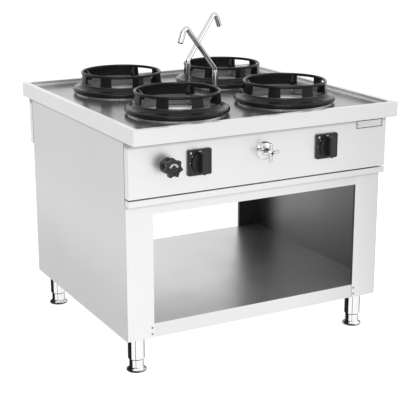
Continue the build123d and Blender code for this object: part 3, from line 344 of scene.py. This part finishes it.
def chrome(name, color=CHROME, rough=0.07):
    """Plated tube: mirror with faint wipe marks and water spots, and a painted dark reflection where it turns
    away.
    """
    made, tree, shader = new_material(name)
    wipe = noise(tree, (60.0, 60.0, 14.0), 5.0)
    spots = noise(tree, (420.0, 420.0, 420.0), 2.0)
    plated = blend_colors(tree, spread(tree, wipe, 0.0, 1.0), shade(color, 0.95), color)
    turned_away = add(tree, "ShaderNodeLayerWeight", {"Blend": 0.5}).outputs["Facing"]
    edge = faded(tree, turned_away, EDGE_START, EDGE_END, WHITE, CHROME_PAINTED_DARK_EDGE)
    tree.links.new(multiplied(tree, plated, edge), shader.inputs["Base Color"])
    tree.links.new(edge, shader.inputs["Specular Tint"])
    total = add(tree, "ShaderNodeMath", {0: spread(tree, wipe, rough - 0.02, rough + 0.05),
                                         1: spread(tree, spots, 0.0, 0.05, 0.6, 0.75)}, operation="ADD")
    tree.links.new(total.outputs[0], shader.inputs["Roughness"])
    tree.links.new(bump(tree, wipe, 0.03, 0.0002), shader.inputs["Normal"])
    shader.inputs["Metallic"].default_value = 1.0
    return made


def inside_ring(tree):
    """One on the lower inner wall of any of the four rings, nought elsewhere."""
    arms = []
    for axis, middle in (("X", RING_AXIS.x), ("Y", RING_AXIS.y)):
        near = add(tree, "ShaderNodeMath", {0: place_axis(tree, axis)}, operation="ABSOLUTE").outputs[0]
        arms.append(add(tree, "ShaderNodeMath", {0: near, 1: abs(middle)}, operation="SUBTRACT").outputs[0])
    flat = add(tree, "ShaderNodeCombineXYZ", {0: arms[0], 1: arms[1]}).outputs[0]
    reach = add(tree, "ShaderNodeVectorMath", {0: flat}, operation="LENGTH").outputs["Value"]
    within = add(tree, "ShaderNodeMath", {0: reach, 1: RING_INSIDE}, operation="LESS_THAN").outputs[0]
    below = add(tree, "ShaderNodeMath", {0: place_axis(tree, "Z"), 1: RING_INSIDE_TOP}, operation="LESS_THAN")
    return add(tree, "ShaderNodeMath", {0: within, 1: below.outputs[0]}, operation="MULTIPLY").outputs[0]


def enamel(name):
    """Black enamel over cast iron: orange-peel skin, greyer on the edges from wear with a painted highlight,
    and a painted grey reflection low inside a ring.
    """
    made, tree, shader = new_material(name)
    skin = noise(tree, (260.0, 260.0, 260.0), 3.0)
    sand = noise(tree, (1100.0, 1100.0, 1100.0), 2.0)
    cloud = noise(tree, (14.0, 14.0, 14.0), 4.0)
    edge = add(tree, "ShaderNodeNewGeometry").outputs["Pointiness"]
    varied = spread(tree, edge, 0.0, 1.0, 0.60, 0.72)
    skin_color = blend_colors(tree, varied, ENAMEL, ENAMEL_EDGE_WEAR_AND_HIGHLIGHT)
    inside_sheen = blend_colors(tree, spread(tree, cloud, 0.0, 1.0), shade(ENAMEL_INSIDE_SHEEN, 0.85), ENAMEL_INSIDE_SHEEN)
    tree.links.new(mixed(tree, inside_ring(tree), skin_color, inside_sheen), shader.inputs["Base Color"])
    tree.links.new(spread(tree, cloud, 0.13, 0.19), shader.inputs["Roughness"])
    low = bump(tree, skin, 0.10, 0.0005)
    tree.links.new(bump(tree, sand, 0.04, 0.0002, low), shader.inputs["Normal"])
    shader.inputs["Specular IOR Level"].default_value = 0.22
    return made


def moulded(name, color, rough, grain=0.12, specular=0.5):
    """Moulded plastic: fine spark-eroded grain, polished a little where fingers rub."""
    made, tree, shader = new_material(name)
    pits = noise(tree, (1600.0, 1600.0, 1600.0), 3.0)
    handled = noise(tree, (45.0, 45.0, 45.0), 4.0)
    rubbed = blend_colors(tree, spread(tree, handled, 0.0, 1.0), shade(color, 0.85), shade(color, 1.25))
    tree.links.new(rubbed, shader.inputs["Base Color"])
    tree.links.new(spread(tree, handled, rough - 0.06, rough + 0.06), shader.inputs["Roughness"])
    tree.links.new(bump(tree, pits, grain, 0.0003), shader.inputs["Normal"])
    shader.inputs["Specular IOR Level"].default_value = specular
    return made


def cast(name, color, rough, metallic=0.6, grain=0.4):
    """Sand-cast or rough metal with pores and heat tint."""
    made, tree, shader = new_material(name)
    pores = noise(tree, (700.0, 700.0, 700.0), 5.0, 0.7)
    patch = noise(tree, (18.0, 18.0, 18.0), 4.0)
    warm = (color[0] * 1.25, color[1] * 1.05, color[2] * 0.9)
    tree.links.new(blend_colors(tree, spread(tree, patch, 0.0, 1.0), shade(color, 0.8), warm),
                   shader.inputs["Base Color"])
    tree.links.new(spread(tree, pores, rough - 0.1, rough + 0.1), shader.inputs["Roughness"])
    tree.links.new(bump(tree, pores, grain, 0.0005), shader.inputs["Normal"])
    shader.inputs["Metallic"].default_value = metallic
    return made


def ink(name, color):
    """Printed or filled marks, and painted shade, slightly uneven."""
    made, tree, shader = new_material(name)
    uneven = noise(tree, (900.0, 900.0, 900.0), 3.0)
    tree.links.new(blend_colors(tree, spread(tree, uneven, 0.0, 1.0), shade(color, 0.9), color),
                   shader.inputs["Base Color"])
    tree.links.new(spread(tree, uneven, 0.4, 0.55), shader.inputs["Roughness"])
    return made


MATERIALS = {
    "ring_enamel": enamel("black_enamel"),
    "switch_plate": moulded("plate_black", PLATE_BLACK, 0.34, 0.05),
    "knob_black": moulded("knob_black", KNOB_BLACK, 0.40),
    "wheel_black": moulded("wheel_black", KNOB_BLACK, 0.36),
    "bezel_black": moulded("bezel_black", PLATE_BLACK, 0.45, 0.2),
    "chrome": chrome("tap_chrome", shade(CHROME, 0.84), 0.10),
    "leg_chrome": chrome("leg_chrome", CHROME, 0.04),
    "hob_steel": tone(brushed("hob_steel", STEEL, 0.32, "x"), HOB_RIGHT),
    "pan_steel": tone(brushed("pan_steel", PAN_STEEL_SHADED, 0.22, "x", 0.03, 0.04), PAN_MIDDLE),
    "seat_steel": brushed("seat_steel", SEAT_STEEL, 0.26, "x", 0.03, 0.04),
    "panel_steel": panel_sheet("panel_steel"),
    "trim_steel": frame_sheet("trim_steel"),
    "side_steel": tone(side_sheet("side_steel"), SIDE_LOW, SIDE_TOP),
    "frame_steel": frame_sheet("frame_steel", RAIL_TOP, RAIL_LOW),
    "floor_steel": storage_sheet("floor_steel"),
    "inner_steel": brushed("inner_steel", INNER_STEEL, 0.45, "y"),
    "screw_steel": chrome("screw_steel", shade(CHROME, 0.45), 0.25),
    "plate_metal": brushed("plate_metal", (0.74, 0.74, 0.74), 0.42, "x"),
    "insert_plastic": moulded("insert_plastic", RUBBER, 0.6),
    "bowl_steel": brushed("bowl_steel", (0.78, 0.78, 0.785), 0.50, "z", metallic=0.25),
    "burner_iron": cast("burner_iron", IRON, 0.6, 0.3),
    "brass": cast("valve_brass", BRASS, 0.38, 1.0, 0.1),
    "gas_pipe": cast("gas_paint", GAS_YELLOW, 0.45, 0.0, 0.1),
    "pipe_steel": chrome("pipe_steel", (0.55, 0.55, 0.56), 0.28),
}
WHITE_MARK = ink("white_mark", WHITE_INK)
# dark print on the nameplate and tap button, and painted shade in the screw recesses
DARK_PRINT_AND_SHADE = ink("dark_print_and_shade", (0.035, 0.035, 0.035))
SEAM_MARK = ink("seam_shadow", SEAM_GREY)
RUBBER_BLACK = moulded("foot_rubber", RUBBER, 0.6)
STILE_STEEL = tone(stile_sheet("stile_steel"), STILE_RIGHT, RAIL_TOP)


# ---- the carried-over solids ----
def dress_node(name, material):
    piece = NODES[name]
    piece.data.materials.clear()
    piece.data.materials.append(material)


for entry in frame["record"]["subparts"]:
    slot_name = entry["material_slot"]
    material = STILE_STEEL if entry["node"].startswith("stile") else MATERIALS[slot_name]
    dress_node(entry["node"], material)


# ---- building small pieces ----
def finish_piece(name, build, material, body):
    """Make one object from a bmesh that is already in the frame."""
    mesh = bpy.data.meshes.new(name)
    bmesh.ops.recalc_face_normals(build, faces=build.faces)
    build.to_mesh(mesh)
    build.free()
    mesh.materials.append(material)
    for face in mesh.polygons:
        face.use_smooth = True
    mesh.set_sharp_from_angle(angle=SHARP_ANGLE)
    piece = bpy.data.objects.new(name, mesh)
    bpy.context.scene.collection.objects.link(piece)
    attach(piece, body)
    return piece


def add_prism(build, outline, low, high, place, edge=0.0):
    """A plate with that outline of (u, v) points between two heights w, its top edge turned in."""
    levels = [(low, 0.0), (high - edge, 0.0), (high, edge)] if edge else [(low, 0.0), (high, 0.0)]
    centre = Vector((sum(u for u, v in outline) / len(outline), sum(v for u, v in outline) / len(outline)))
    rings = []
    for height, inset in levels:
        ring = []
        for u, v in outline:
            arm = Vector((u, v)) - centre
            spot = centre + arm * max(0.0, 1 - inset / max(arm.length, 1e-9))
            ring.append(build.verts.new(place @ Vector((spot.x, spot.y, height))))
        rings.append(ring)
    for below, above in zip(rings, rings[1:]):
        for index in range(len(outline)):
            nxt = (index + 1) % len(outline)
            build.faces.new((below[index], below[nxt], above[nxt], above[index]))
    build.faces.new(list(reversed(rings[0])))
    build.faces.new(rings[-1])


def circle_points(radius, count, centre=(0.0, 0.0)):
    return [(centre[0] + radius * math.cos(turn * 2 * math.pi / count),
             centre[1] + radius * math.sin(turn * 2 * math.pi / count)) for turn in range(count)]


def arc_band(inner, outer, start, end, count):
    """Outline of a curved band between two angles, in degrees."""
    angles = [math.radians(start + (end - start) * step / count) for step in range(count + 1)]
    outside = [(outer * math.cos(a), outer * math.sin(a)) for a in angles]
    inside = [(inner * math.cos(a), inner * math.sin(a)) for a in reversed(angles)]
    return outside + inside


def add_quads(build, outline_pairs, low, high, place):
    """A curved band made of short quads, so that its ends and curve stay clean."""
    half = len(outline_pairs) // 2
    outside = outline_pairs[:half]
    inside = list(reversed(outline_pairs[half:]))
    for index in range(half - 1):
        quad = [outside[index], outside[index + 1], inside[index + 1], inside[index]]
        add_prism(build, quad, low, high, place)


def in_metres(profile):
    """An outline of points in millimetres, in metres."""
    return [(radius * MM, height * MM) for radius, height in profile]


def add_lathe(build, profile, place, count=48):
    """Turn an open outline of (radius, height) round the local W axis."""
    rings = []
    for radius, height in profile:
        rings.append([build.verts.new(place @ Vector((radius * math.cos(turn * 2 * math.pi / count),
                                                      radius * math.sin(turn * 2 * math.pi / count), height)))
                      for turn in range(count)])
    for below, above in zip(rings, rings[1:]):
        for index in range(count):
            nxt = (index + 1) % count
            build.faces.new((below[index], below[nxt], above[nxt], above[index]))


def face_of(node, side, depth=None):
    """A local frame on the outward face of a node on one side: U right, V up, W outward."""
    low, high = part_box(node)
    out = low.y if side == "front" else high.y
    if depth is not None:
        out = depth if side == "front" else -depth
    right = Vector((1, 0, 0)) if side == "front" else Vector((-1, 0, 0))
    up = Vector((0, 0, 1))
    outward = right.cross(up)
    made = Matrix.Identity(4)
    for column, axis in enumerate((right, up, outward)):
        for row in range(3):
            made[row][column] = axis[row]
    centre = (low + high) / 2
    made.translation = Vector((centre.x, out, centre.z))
    return made


# ---- marks on the switches ----
def switch_marks(side, hand):
    """Printed on the plate: a round off mark, a small arc over the grip and two position ticks."""
    build = bmesh.new()
    place = face_of(f"switch_plate_{side}_{hand}", side)
    add_prism(build, circle_points(3.6 * MM, 24, (-33 * MM, 33 * MM)), MARK_SINK, MARK_RISE, place)
    low_flame = place @ Matrix.Translation((0, -2.0 * MM, 0))
    add_quads(build, arc_band(36.5 * MM, 39.5 * MM, 83, 97, 6), MARK_SINK, MARK_RISE, low_flame)
    for start in (140, 176):
        tick = arc_band(34.4 * MM, 37.4 * MM, start, start + 4, 2)
        add_quads(build, tick, MARK_SINK, MARK_RISE, place)
    finish_piece(f"switch_marks_{side}_{hand}", build, WHITE_MARK, "cabinet")


def plate_shadow_gap(side, hand):
    """The dark ring of the gap round the dial."""
    build = bmesh.new()
    place = face_of(f"switch_plate_{side}_{hand}", side)
    profile = [(31.6, -1.45), (32.9, -1.4), (33.3, 0.05), (34.2, 0.28), (34.9, 0.02)]
    add_lathe(build, in_metres(profile), place, 64)
    finish_piece(f"switch_ring_{side}_{hand}", build, MATERIALS["knob_black"], "cabinet")


def star_symbol(side):
    """Open and close arrows filled white in the wheel's dish, round a small cap."""
    build = bmesh.new()
    low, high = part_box(f"star_wheel_{side}")
    dish = (low.y if side == "front" else high.y)
    place = face_of(f"star_valve_{side}", side)
    place.translation = Vector((place.translation.x, dish, STAR_AXIS_Z))
    for start, end in ((20, 84), (96, 160)):
        band = arc_band(10.0 * MM, 15.5 * MM, start, end, 14)
        add_quads(build, band, STAR_MARK_FLOOR, STAR_MARK_TOP, place)
    for angle, turn in ((8, -1), (172, 1)):
        tip = math.radians(angle)
        back = math.radians(angle - turn * 16)
        outline = [(STAR_MARK_MIDDLE * math.cos(tip), STAR_MARK_MIDDLE * math.sin(tip)),
                   (18.6 * MM * math.cos(back), 18.6 * MM * math.sin(back)),
                   (7.8 * MM * math.cos(back), 7.8 * MM * math.sin(back))]
        add_prism(build, outline, STAR_MARK_FLOOR, STAR_MARK_TOP, place)
    finish_piece(f"star_symbol_{side}", build, WHITE_MARK, f"star_{side}")
    cap = bmesh.new()
    add_lathe(cap, in_metres([(7.2, -2.1), (7.2, -0.9), (6.4, -0.3), (3.0, 0.0), (0.01, 0.0)]), place, 40)
    finish_piece(f"star_cap_{side}", cap, MATERIALS["bezel_black"], f"star_{side}")


for side_name in ("front", "rear"):
    for hand_name in ("left", "right"):
        switch_marks(side_name, hand_name)
        plate_shadow_gap(side_name, hand_name)
    star_symbol(side_name)


# ---- taps and faucets ----
def tap_index(side):
    """A small enamelled button in the end of the cross handle's hub."""
    place = face_of(f"cross_handle_{side}", side)
    build = bmesh.new()
    add_lathe(build, in_metres([(5.2, -0.6), (5.0, -0.15), (4.0, 0.0), (0.01, 0.0)]), place, 32)
    finish_piece(f"tap_index_{side}", build, DARK_PRINT_AND_SHADE, f"tap_handle_{side}")


def faucet_trim(side):
    """The collar on the riser that locks the swivel."""
    low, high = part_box(f"faucet_riser_{side}")
    centre = (low + high) / 2
    place = Matrix.Translation((centre.x, centre.y, high.z))
    build = bmesh.new()
    add_lathe(build, in_metres([(10.0, -22.0), (10.8, -21.4), (10.8, -12.6), (10.0, -12.0)]), place)
    finish_piece(f"faucet_lock_ring_{side}", build, MATERIALS["chrome"], "cabinet")


for side_name in ("front", "rear"):
    tap_index(side_name)
    faucet_trim(side_name)


# ---- screws, nameplate, feet and pipe stubs ----
def screw_recesses():
    """Cross recesses in the eight rail screws, drawn as thin dark crosses: painted shade."""
    build = bmesh.new()
    for side in ("front", "rear"):
        for sign_x in (-1, 1):
            for height in SCREW_HEIGHTS:
                right = 1 if side == "front" else -1
                face = -right * SCREW_FACE
                place = Matrix(((right, 0, 0, sign_x * SCREW_X), (0, 0, -right, face), (0, 1, 0, height),
                                (0, 0, 0, 1)))
                for wide, tall in ((2.2, 0.55), (0.55, 2.2)):
                    outline = [(-wide * MM, -tall * MM), (wide * MM, -tall * MM), (wide * MM, tall * MM),
                               (-wide * MM, tall * MM)]
                    add_prism(build, outline, -0.2 * MM, 0.06 * MM, place)
    finish_piece("screw_recesses", build, DARK_PRINT_AND_SHADE, "cabinet")


def nameplate_border():
    """Dark printed border and two rivets; the field stays bare."""
    low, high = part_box("nameplate")
    place = face_of("nameplate", "front")
    half_w = (high.x - low.x) / 2
    half_h = (high.z - low.z) / 2
    band = PLATE_BAND
    build = bmesh.new()
    outer_u = half_w - PLATE_INSET
    outer_v = half_h - PLATE_INSET
    for u0, u1, v0, v1 in ((-outer_u, outer_u, outer_v - band, outer_v),
                           (-outer_u, outer_u, -outer_v, band - outer_v),
                           (-outer_u, band - outer_u, band - outer_v, outer_v - band),
                           (outer_u - band, outer_u, band - outer_v, outer_v - band)):
        add_prism(build, [(u0, v0), (u1, v0), (u1, v1), (u0, v1)], MARK_SINK, 0.12 * MM, place)
    finish_piece("nameplate_border", build, DARK_PRINT_AND_SHADE, "cabinet")
    rivets = bmesh.new()
    for u in (RIVET_INSET - half_w, half_w - RIVET_INSET):
        centre = place @ Matrix.Translation((u, 0, 0))
        add_lathe(rivets, in_metres([(2.2, 0.0), (2.0, 0.5), (1.2, 0.85), (0.01, 0.95)]), centre, 24)
    finish_piece("nameplate_rivets", rivets, MATERIALS["screw_steel"], "cabinet")


def foot_trim(corner):
    """Black rubber sole round the foot's flange."""
    low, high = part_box(f"foot_{corner}")
    centre = (low + high) / 2
    place = Matrix.Translation((centre.x, centre.y, 0))
    sole = bmesh.new()
    radius = (high.x - low.x) / 2 / MM
    profile = [(radius - 4.0, 0.05), (radius - 0.4, 0.05), (radius + 0.15, 0.5), (radius + 0.15, 3.9),
               (radius - 0.2, 4.15)]
    add_lathe(sole, in_metres(profile), place, 64)
    finish_piece(f"foot_sole_{corner}", sole, RUBBER_BLACK, f"foot_{corner}")


def stub(name, centre_y, height, radius, threads):
    """Thread turns on the bare end of a pipe and the rubber edge of its hole in the side panel."""
    place = Matrix(((0, 0, 1, 0), (1, 0, 0, centre_y), (0, 1, 0, height), (0, 0, 0, 1)))
    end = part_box("drain_pipe")[1].x
    if threads:
        build = bmesh.new()
        profile = []
        start = end - 10.5 * MM
        pitch = (10.0 * MM) / threads
        for index in range(threads):
            base = start + index * pitch
            profile += [(radius - 0.05 * MM, base), (radius + 0.3 * MM, base + pitch * 0.35),
                        (radius + 0.3 * MM, base + pitch * 0.6), (radius - 0.05 * MM, base + pitch * 0.95)]
        add_lathe(build, profile, place)
        finish_piece(f"{name}_thread", build, MATERIALS["pipe_steel"], "cabinet")
    grommet = bmesh.new()
    hole = radius + SLEEVE_ROOM
    add_lathe(grommet, [(hole - 1.2 * MM, SIDE_FACE - 1.6 * MM), (hole - 1.6 * MM, SIDE_FACE - 0.4 * MM),
                        (hole - 1.2 * MM, SIDE_FACE + 0.7 * MM), (hole + 1.2 * MM, SIDE_FACE + 0.9 * MM),
                        (hole + 2.4 * MM, SIDE_FACE + 0.4 * MM), (hole + 2.6 * MM, SIDE_FACE)], place)
    finish_piece(f"{name}_grommet", grommet, RUBBER_BLACK, "cabinet")


def corner_seams():
    """Shadow lines of the open joints between the side panels and the returns of the folded fronts."""
    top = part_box("side_panel_right")[1].z
    build = bmesh.new()
    for side in ("front", "rear"):
        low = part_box(f"trim_rail_{side}")[0].z
        sign_y = -1 if side == "front" else 1
        for sign_x in (-1, 1):
            middle = sign_y * CARCASS_FACE
            outline = [(middle - SEAM_HALF, low), (middle + SEAM_HALF, low), (middle + SEAM_HALF, top),
                       (middle - SEAM_HALF, top)]
            place = Matrix(((0, 0, sign_x, 0), (1, 0, 0, 0), (0, 1, 0, 0), (0, 0, 0, 1)))
            add_prism(build, outline, SIDE_FACE - 0.3 * MM, SIDE_FACE + 0.05 * MM, place)
    finish_piece("corner_seams", build, SEAM_MARK, "cabinet")


screw_recesses()
nameplate_border()
for corner_name in ("fl", "fr", "rl", "rr"):
    foot_trim(corner_name)
for stub_values in PIPE_STUBS:
    stub(*stub_values)
corner_seams()


def rim_mitres():
    """Ground weld lines across the rim's four corners."""
    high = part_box("hob_frame")[1]
    reach = high.x - MITRE_END
    inner = high.x - MITRE_START
    top = high.z
    build = bmesh.new()
    for sign_x in (-1, 1):
        for sign_y in (-1, 1):
            across = Vector((-sign_y, sign_x, 0)).normalized() * MITRE_HALF
            start = Vector((sign_x * inner, sign_y * inner, top))
            end = Vector((sign_x * reach, sign_y * reach, top))
            ridge = Vector((0, 0, MITRE_RISE))
            points = [start - across, start + across, end + across, end - across, start + ridge, end + ridge]
            verts = [build.verts.new(point) for point in points]
            build.faces.new((verts[0], verts[4], verts[5], verts[3]))
            build.faces.new((verts[4], verts[1], verts[2], verts[5]))
            build.faces.new((verts[0], verts[1], verts[4]))
            build.faces.new((verts[3], verts[5], verts[2]))
            build.faces.new((verts[0], verts[3], verts[2], verts[1]))
    finish_piece("rim_mitres", build, MATERIALS["hob_steel"], "cabinet")


rim_mitres()


# ---- floor, room, lamps and camera ----
def mirror_light(tree, x):
    """How bright the floor looks in a mirror: full in the middle, greyer to the left and the right."""
    right = spread(tree, x, 0.0, FLOOR_GREY_RIGHT[2], *FLOOR_GREY_RIGHT[:2])
    left = spread(tree, x, 0.0, FLOOR_GREY_LEFT[2], *FLOOR_GREY_LEFT[:2])
    loss = add(tree, "ShaderNodeMath", {0: right, 1: left}, operation="ADD").outputs[0]
    return add(tree, "ShaderNodeMath", {0: 1.0, 1: loss}, operation="SUBTRACT").outputs[0]


def with_glow(tree, shader, strength):
    """Add a glow for camera and mirror rays to a shader; diffuse light sees the shader alone."""
    rays = add(tree, "ShaderNodeLightPath")
    place = add(tree, "ShaderNodeNewGeometry").outputs["Position"]
    x = add(tree, "ShaderNodeSeparateXYZ", {0: place}).outputs["X"]
    mirrored = add(tree, "ShaderNodeMath", {0: rays.outputs["Is Glossy Ray"], 1: mirror_light(tree, x)},
                   operation="MULTIPLY").outputs[0]
    seen = add(tree, "ShaderNodeMath", {0: rays.outputs["Is Camera Ray"], 1: mirrored}, operation="MAXIMUM")
    either = add(tree, "ShaderNodeMath", {0: seen.outputs[0], 1: rays.outputs["Is Transmission Ray"]},
                 operation="MAXIMUM")
    power = add(tree, "ShaderNodeMath", {0: either.outputs[0], 1: strength}, operation="MULTIPLY")
    glow = add(tree, "ShaderNodeEmission", {"Color": (1, 1, 1, 1), "Strength": power.outputs[0]})
    return add(tree, "ShaderNodeAddShader", {0: shader, 1: glow.outputs[0]}).outputs[0]


def studio_floor():
    """White sweep that keeps a soft contact shadow."""
    mesh = bpy.data.meshes.new("studio_floor")
    reach = FLOOR_REACH
    mesh.from_pydata([(-reach, -reach, 0), (reach, -reach, 0), (reach, reach, 0), (-reach, reach, 0)], [],
                     [(0, 1, 2, 3)])
    floor = bpy.data.objects.new("studio_floor", mesh)
    bpy.context.scene.collection.objects.link(floor)
    made, tree, shader = new_material("studio_white")
    shader.inputs["Base Color"].default_value = (FLOOR_DIFFUSE, FLOOR_DIFFUSE, FLOOR_DIFFUSE, 1)
    shader.inputs["Roughness"].default_value = 0.9
    shader.inputs["Specular IOR Level"].default_value = 0.0
    glowing = with_glow(tree, shader.outputs[0], FLOOR_GLOW)
    tree.links.new(glowing, tree.nodes["Material Output"].inputs["Surface"])
    mesh.materials.append(made)


def studio_world():
    """White to the camera; reflections see a white room, dark on the left and in one patch."""
    world = bpy.data.worlds.new("studio")
    bpy.context.scene.world = world
    world.use_nodes = True
    tree = world.node_tree
    tree.nodes.clear()
    rays = add(tree, "ShaderNodeLightPath")
    sky = add(tree, "ShaderNodeTexCoord").outputs["Generated"]
    parts = add(tree, "ShaderNodeSeparateXYZ", {0: sky})
    side = spread(tree, parts.outputs["X"], ROOM_DARK_LEFT[2], 1.0, *ROOM_DARK_LEFT[:2])
    towards = add(tree, "ShaderNodeVectorMath", {0: sky, 1: STUDIO_DARK}, operation="DOT_PRODUCT")
    patch = spread(tree, towards.outputs["Value"], 1.0, ROOM_DARK_PATCH[2], *ROOM_DARK_PATCH[:2])
    level = add(tree, "ShaderNodeMath", {0: side, 1: patch}, operation="MULTIPLY")
    room = add(tree, "ShaderNodeBackground", {"Color": (1, 1, 1, 1), "Strength": level.outputs[0]})
    dim = add(tree, "ShaderNodeBackground", {"Color": (1, 1, 1, 1), "Strength": SKY_DIFFUSE})
    plain = add(tree, "ShaderNodeBackground", {"Color": (1, 1, 1, 1), "Strength": 1.0})
    shiny = add(tree, "ShaderNodeMath", {0: rays.outputs["Is Glossy Ray"],
                                         1: rays.outputs["Is Transmission Ray"]}, operation="MAXIMUM")
    first = add(tree, "ShaderNodeMixShader", {0: shiny.outputs[0], 1: dim.outputs[0], 2: room.outputs[0]})
    second = add(tree, "ShaderNodeMixShader", {0: rays.outputs["Is Camera Ray"], 1: first.outputs[0],
                                               2: plain.outputs[0]})
    out = add(tree, "ShaderNodeOutputWorld")
    tree.links.new(second.outputs[0], out.inputs["Surface"])


def leg_flag(corner, start, end):
    """A curved black card beside a leg, between two angles: seen only in the chrome, as a dark strip."""
    low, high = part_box(f"foot_{corner}")
    centre = (low + high) / 2
    build = bmesh.new()
    columns = []
    for index in range(FLAG_STEPS + 1):
        angle = math.radians(start + (end - start) * index / FLAG_STEPS)
        spot = (centre.x + FLAG_REACH * math.cos(angle), centre.y + FLAG_REACH * math.sin(angle))
        columns.append((build.verts.new((*spot, FLAG_FOOT)), build.verts.new((*spot, FLAG_HEIGHT))))
    for left, right in zip(columns, columns[1:]):
        build.faces.new((left[0], right[0], right[1], left[1]))
    mesh = bpy.data.meshes.new(f"flag_{corner}_{start}")
    build.to_mesh(mesh)
    build.free()
    mesh.materials.append(RUBBER_BLACK)
    card = bpy.data.objects.new(f"flag_{corner}_{start}", mesh)
    bpy.context.scene.collection.objects.link(card)
    card.visible_camera = False
    card.visible_diffuse = False
    card.visible_shadow = False


def soft_box(name, place, size, power):
    """A rectangular lamp aimed at the range."""
    lamp = bpy.data.lights.new(name, "AREA")
    lamp.shape = "RECTANGLE"
    lamp.size, lamp.size_y = size
    lamp.energy = power
    holder = bpy.data.objects.new(name, lamp)
    holder.location = place
    holder.rotation_euler = (Vector(LAMP_TARGET) - Vector(place)).to_track_quat("-Z", "Y").to_euler()
    bpy.context.scene.collection.objects.link(holder)


def photograph_camera():
    cam = bpy.data.cameras.new("photograph")
    cam.sensor_width = SENSOR_MM
    cam.lens = FOCAL_PIXELS / FRAME_PIXELS * SENSOR_MM
    cam.clip_end = FAR_CLIP
    sin_yaw, cos_yaw = math.sin(CAMERA_YAW), math.cos(CAMERA_YAW)
    sin_pitch, cos_pitch = math.sin(CAMERA_PITCH), math.cos(CAMERA_PITCH)
    forward = Vector((sin_yaw * cos_pitch, cos_yaw * cos_pitch, -sin_pitch))
    right = Vector((cos_yaw, -sin_yaw, 0.0))
    down = forward.cross(right)
    rolled_right = right * math.cos(CAMERA_ROLL) + down * math.sin(CAMERA_ROLL)
    rolled_down = down * math.cos(CAMERA_ROLL) - right * math.sin(CAMERA_ROLL)
    turn = Matrix((rolled_right, -rolled_down, -forward)).transposed()
    holder = bpy.data.objects.new("photograph", cam)
    holder.matrix_world = Matrix.Translation(CAMERA_PLACE) @ turn.to_4x4()
    bpy.context.scene.collection.objects.link(holder)
    bpy.context.scene.camera = holder


studio_floor()
studio_world()
for corner_name in ("fl", "fr", "rl", "rr"):
    for arc in FLAG_ARCS:
        leg_flag(corner_name, *arc)
soft_box("key", *KEY_LAMP)
soft_box("fill", *FILL_LAMP)
photograph_camera()
bpy.context.scene.view_settings.view_transform = "Standard"
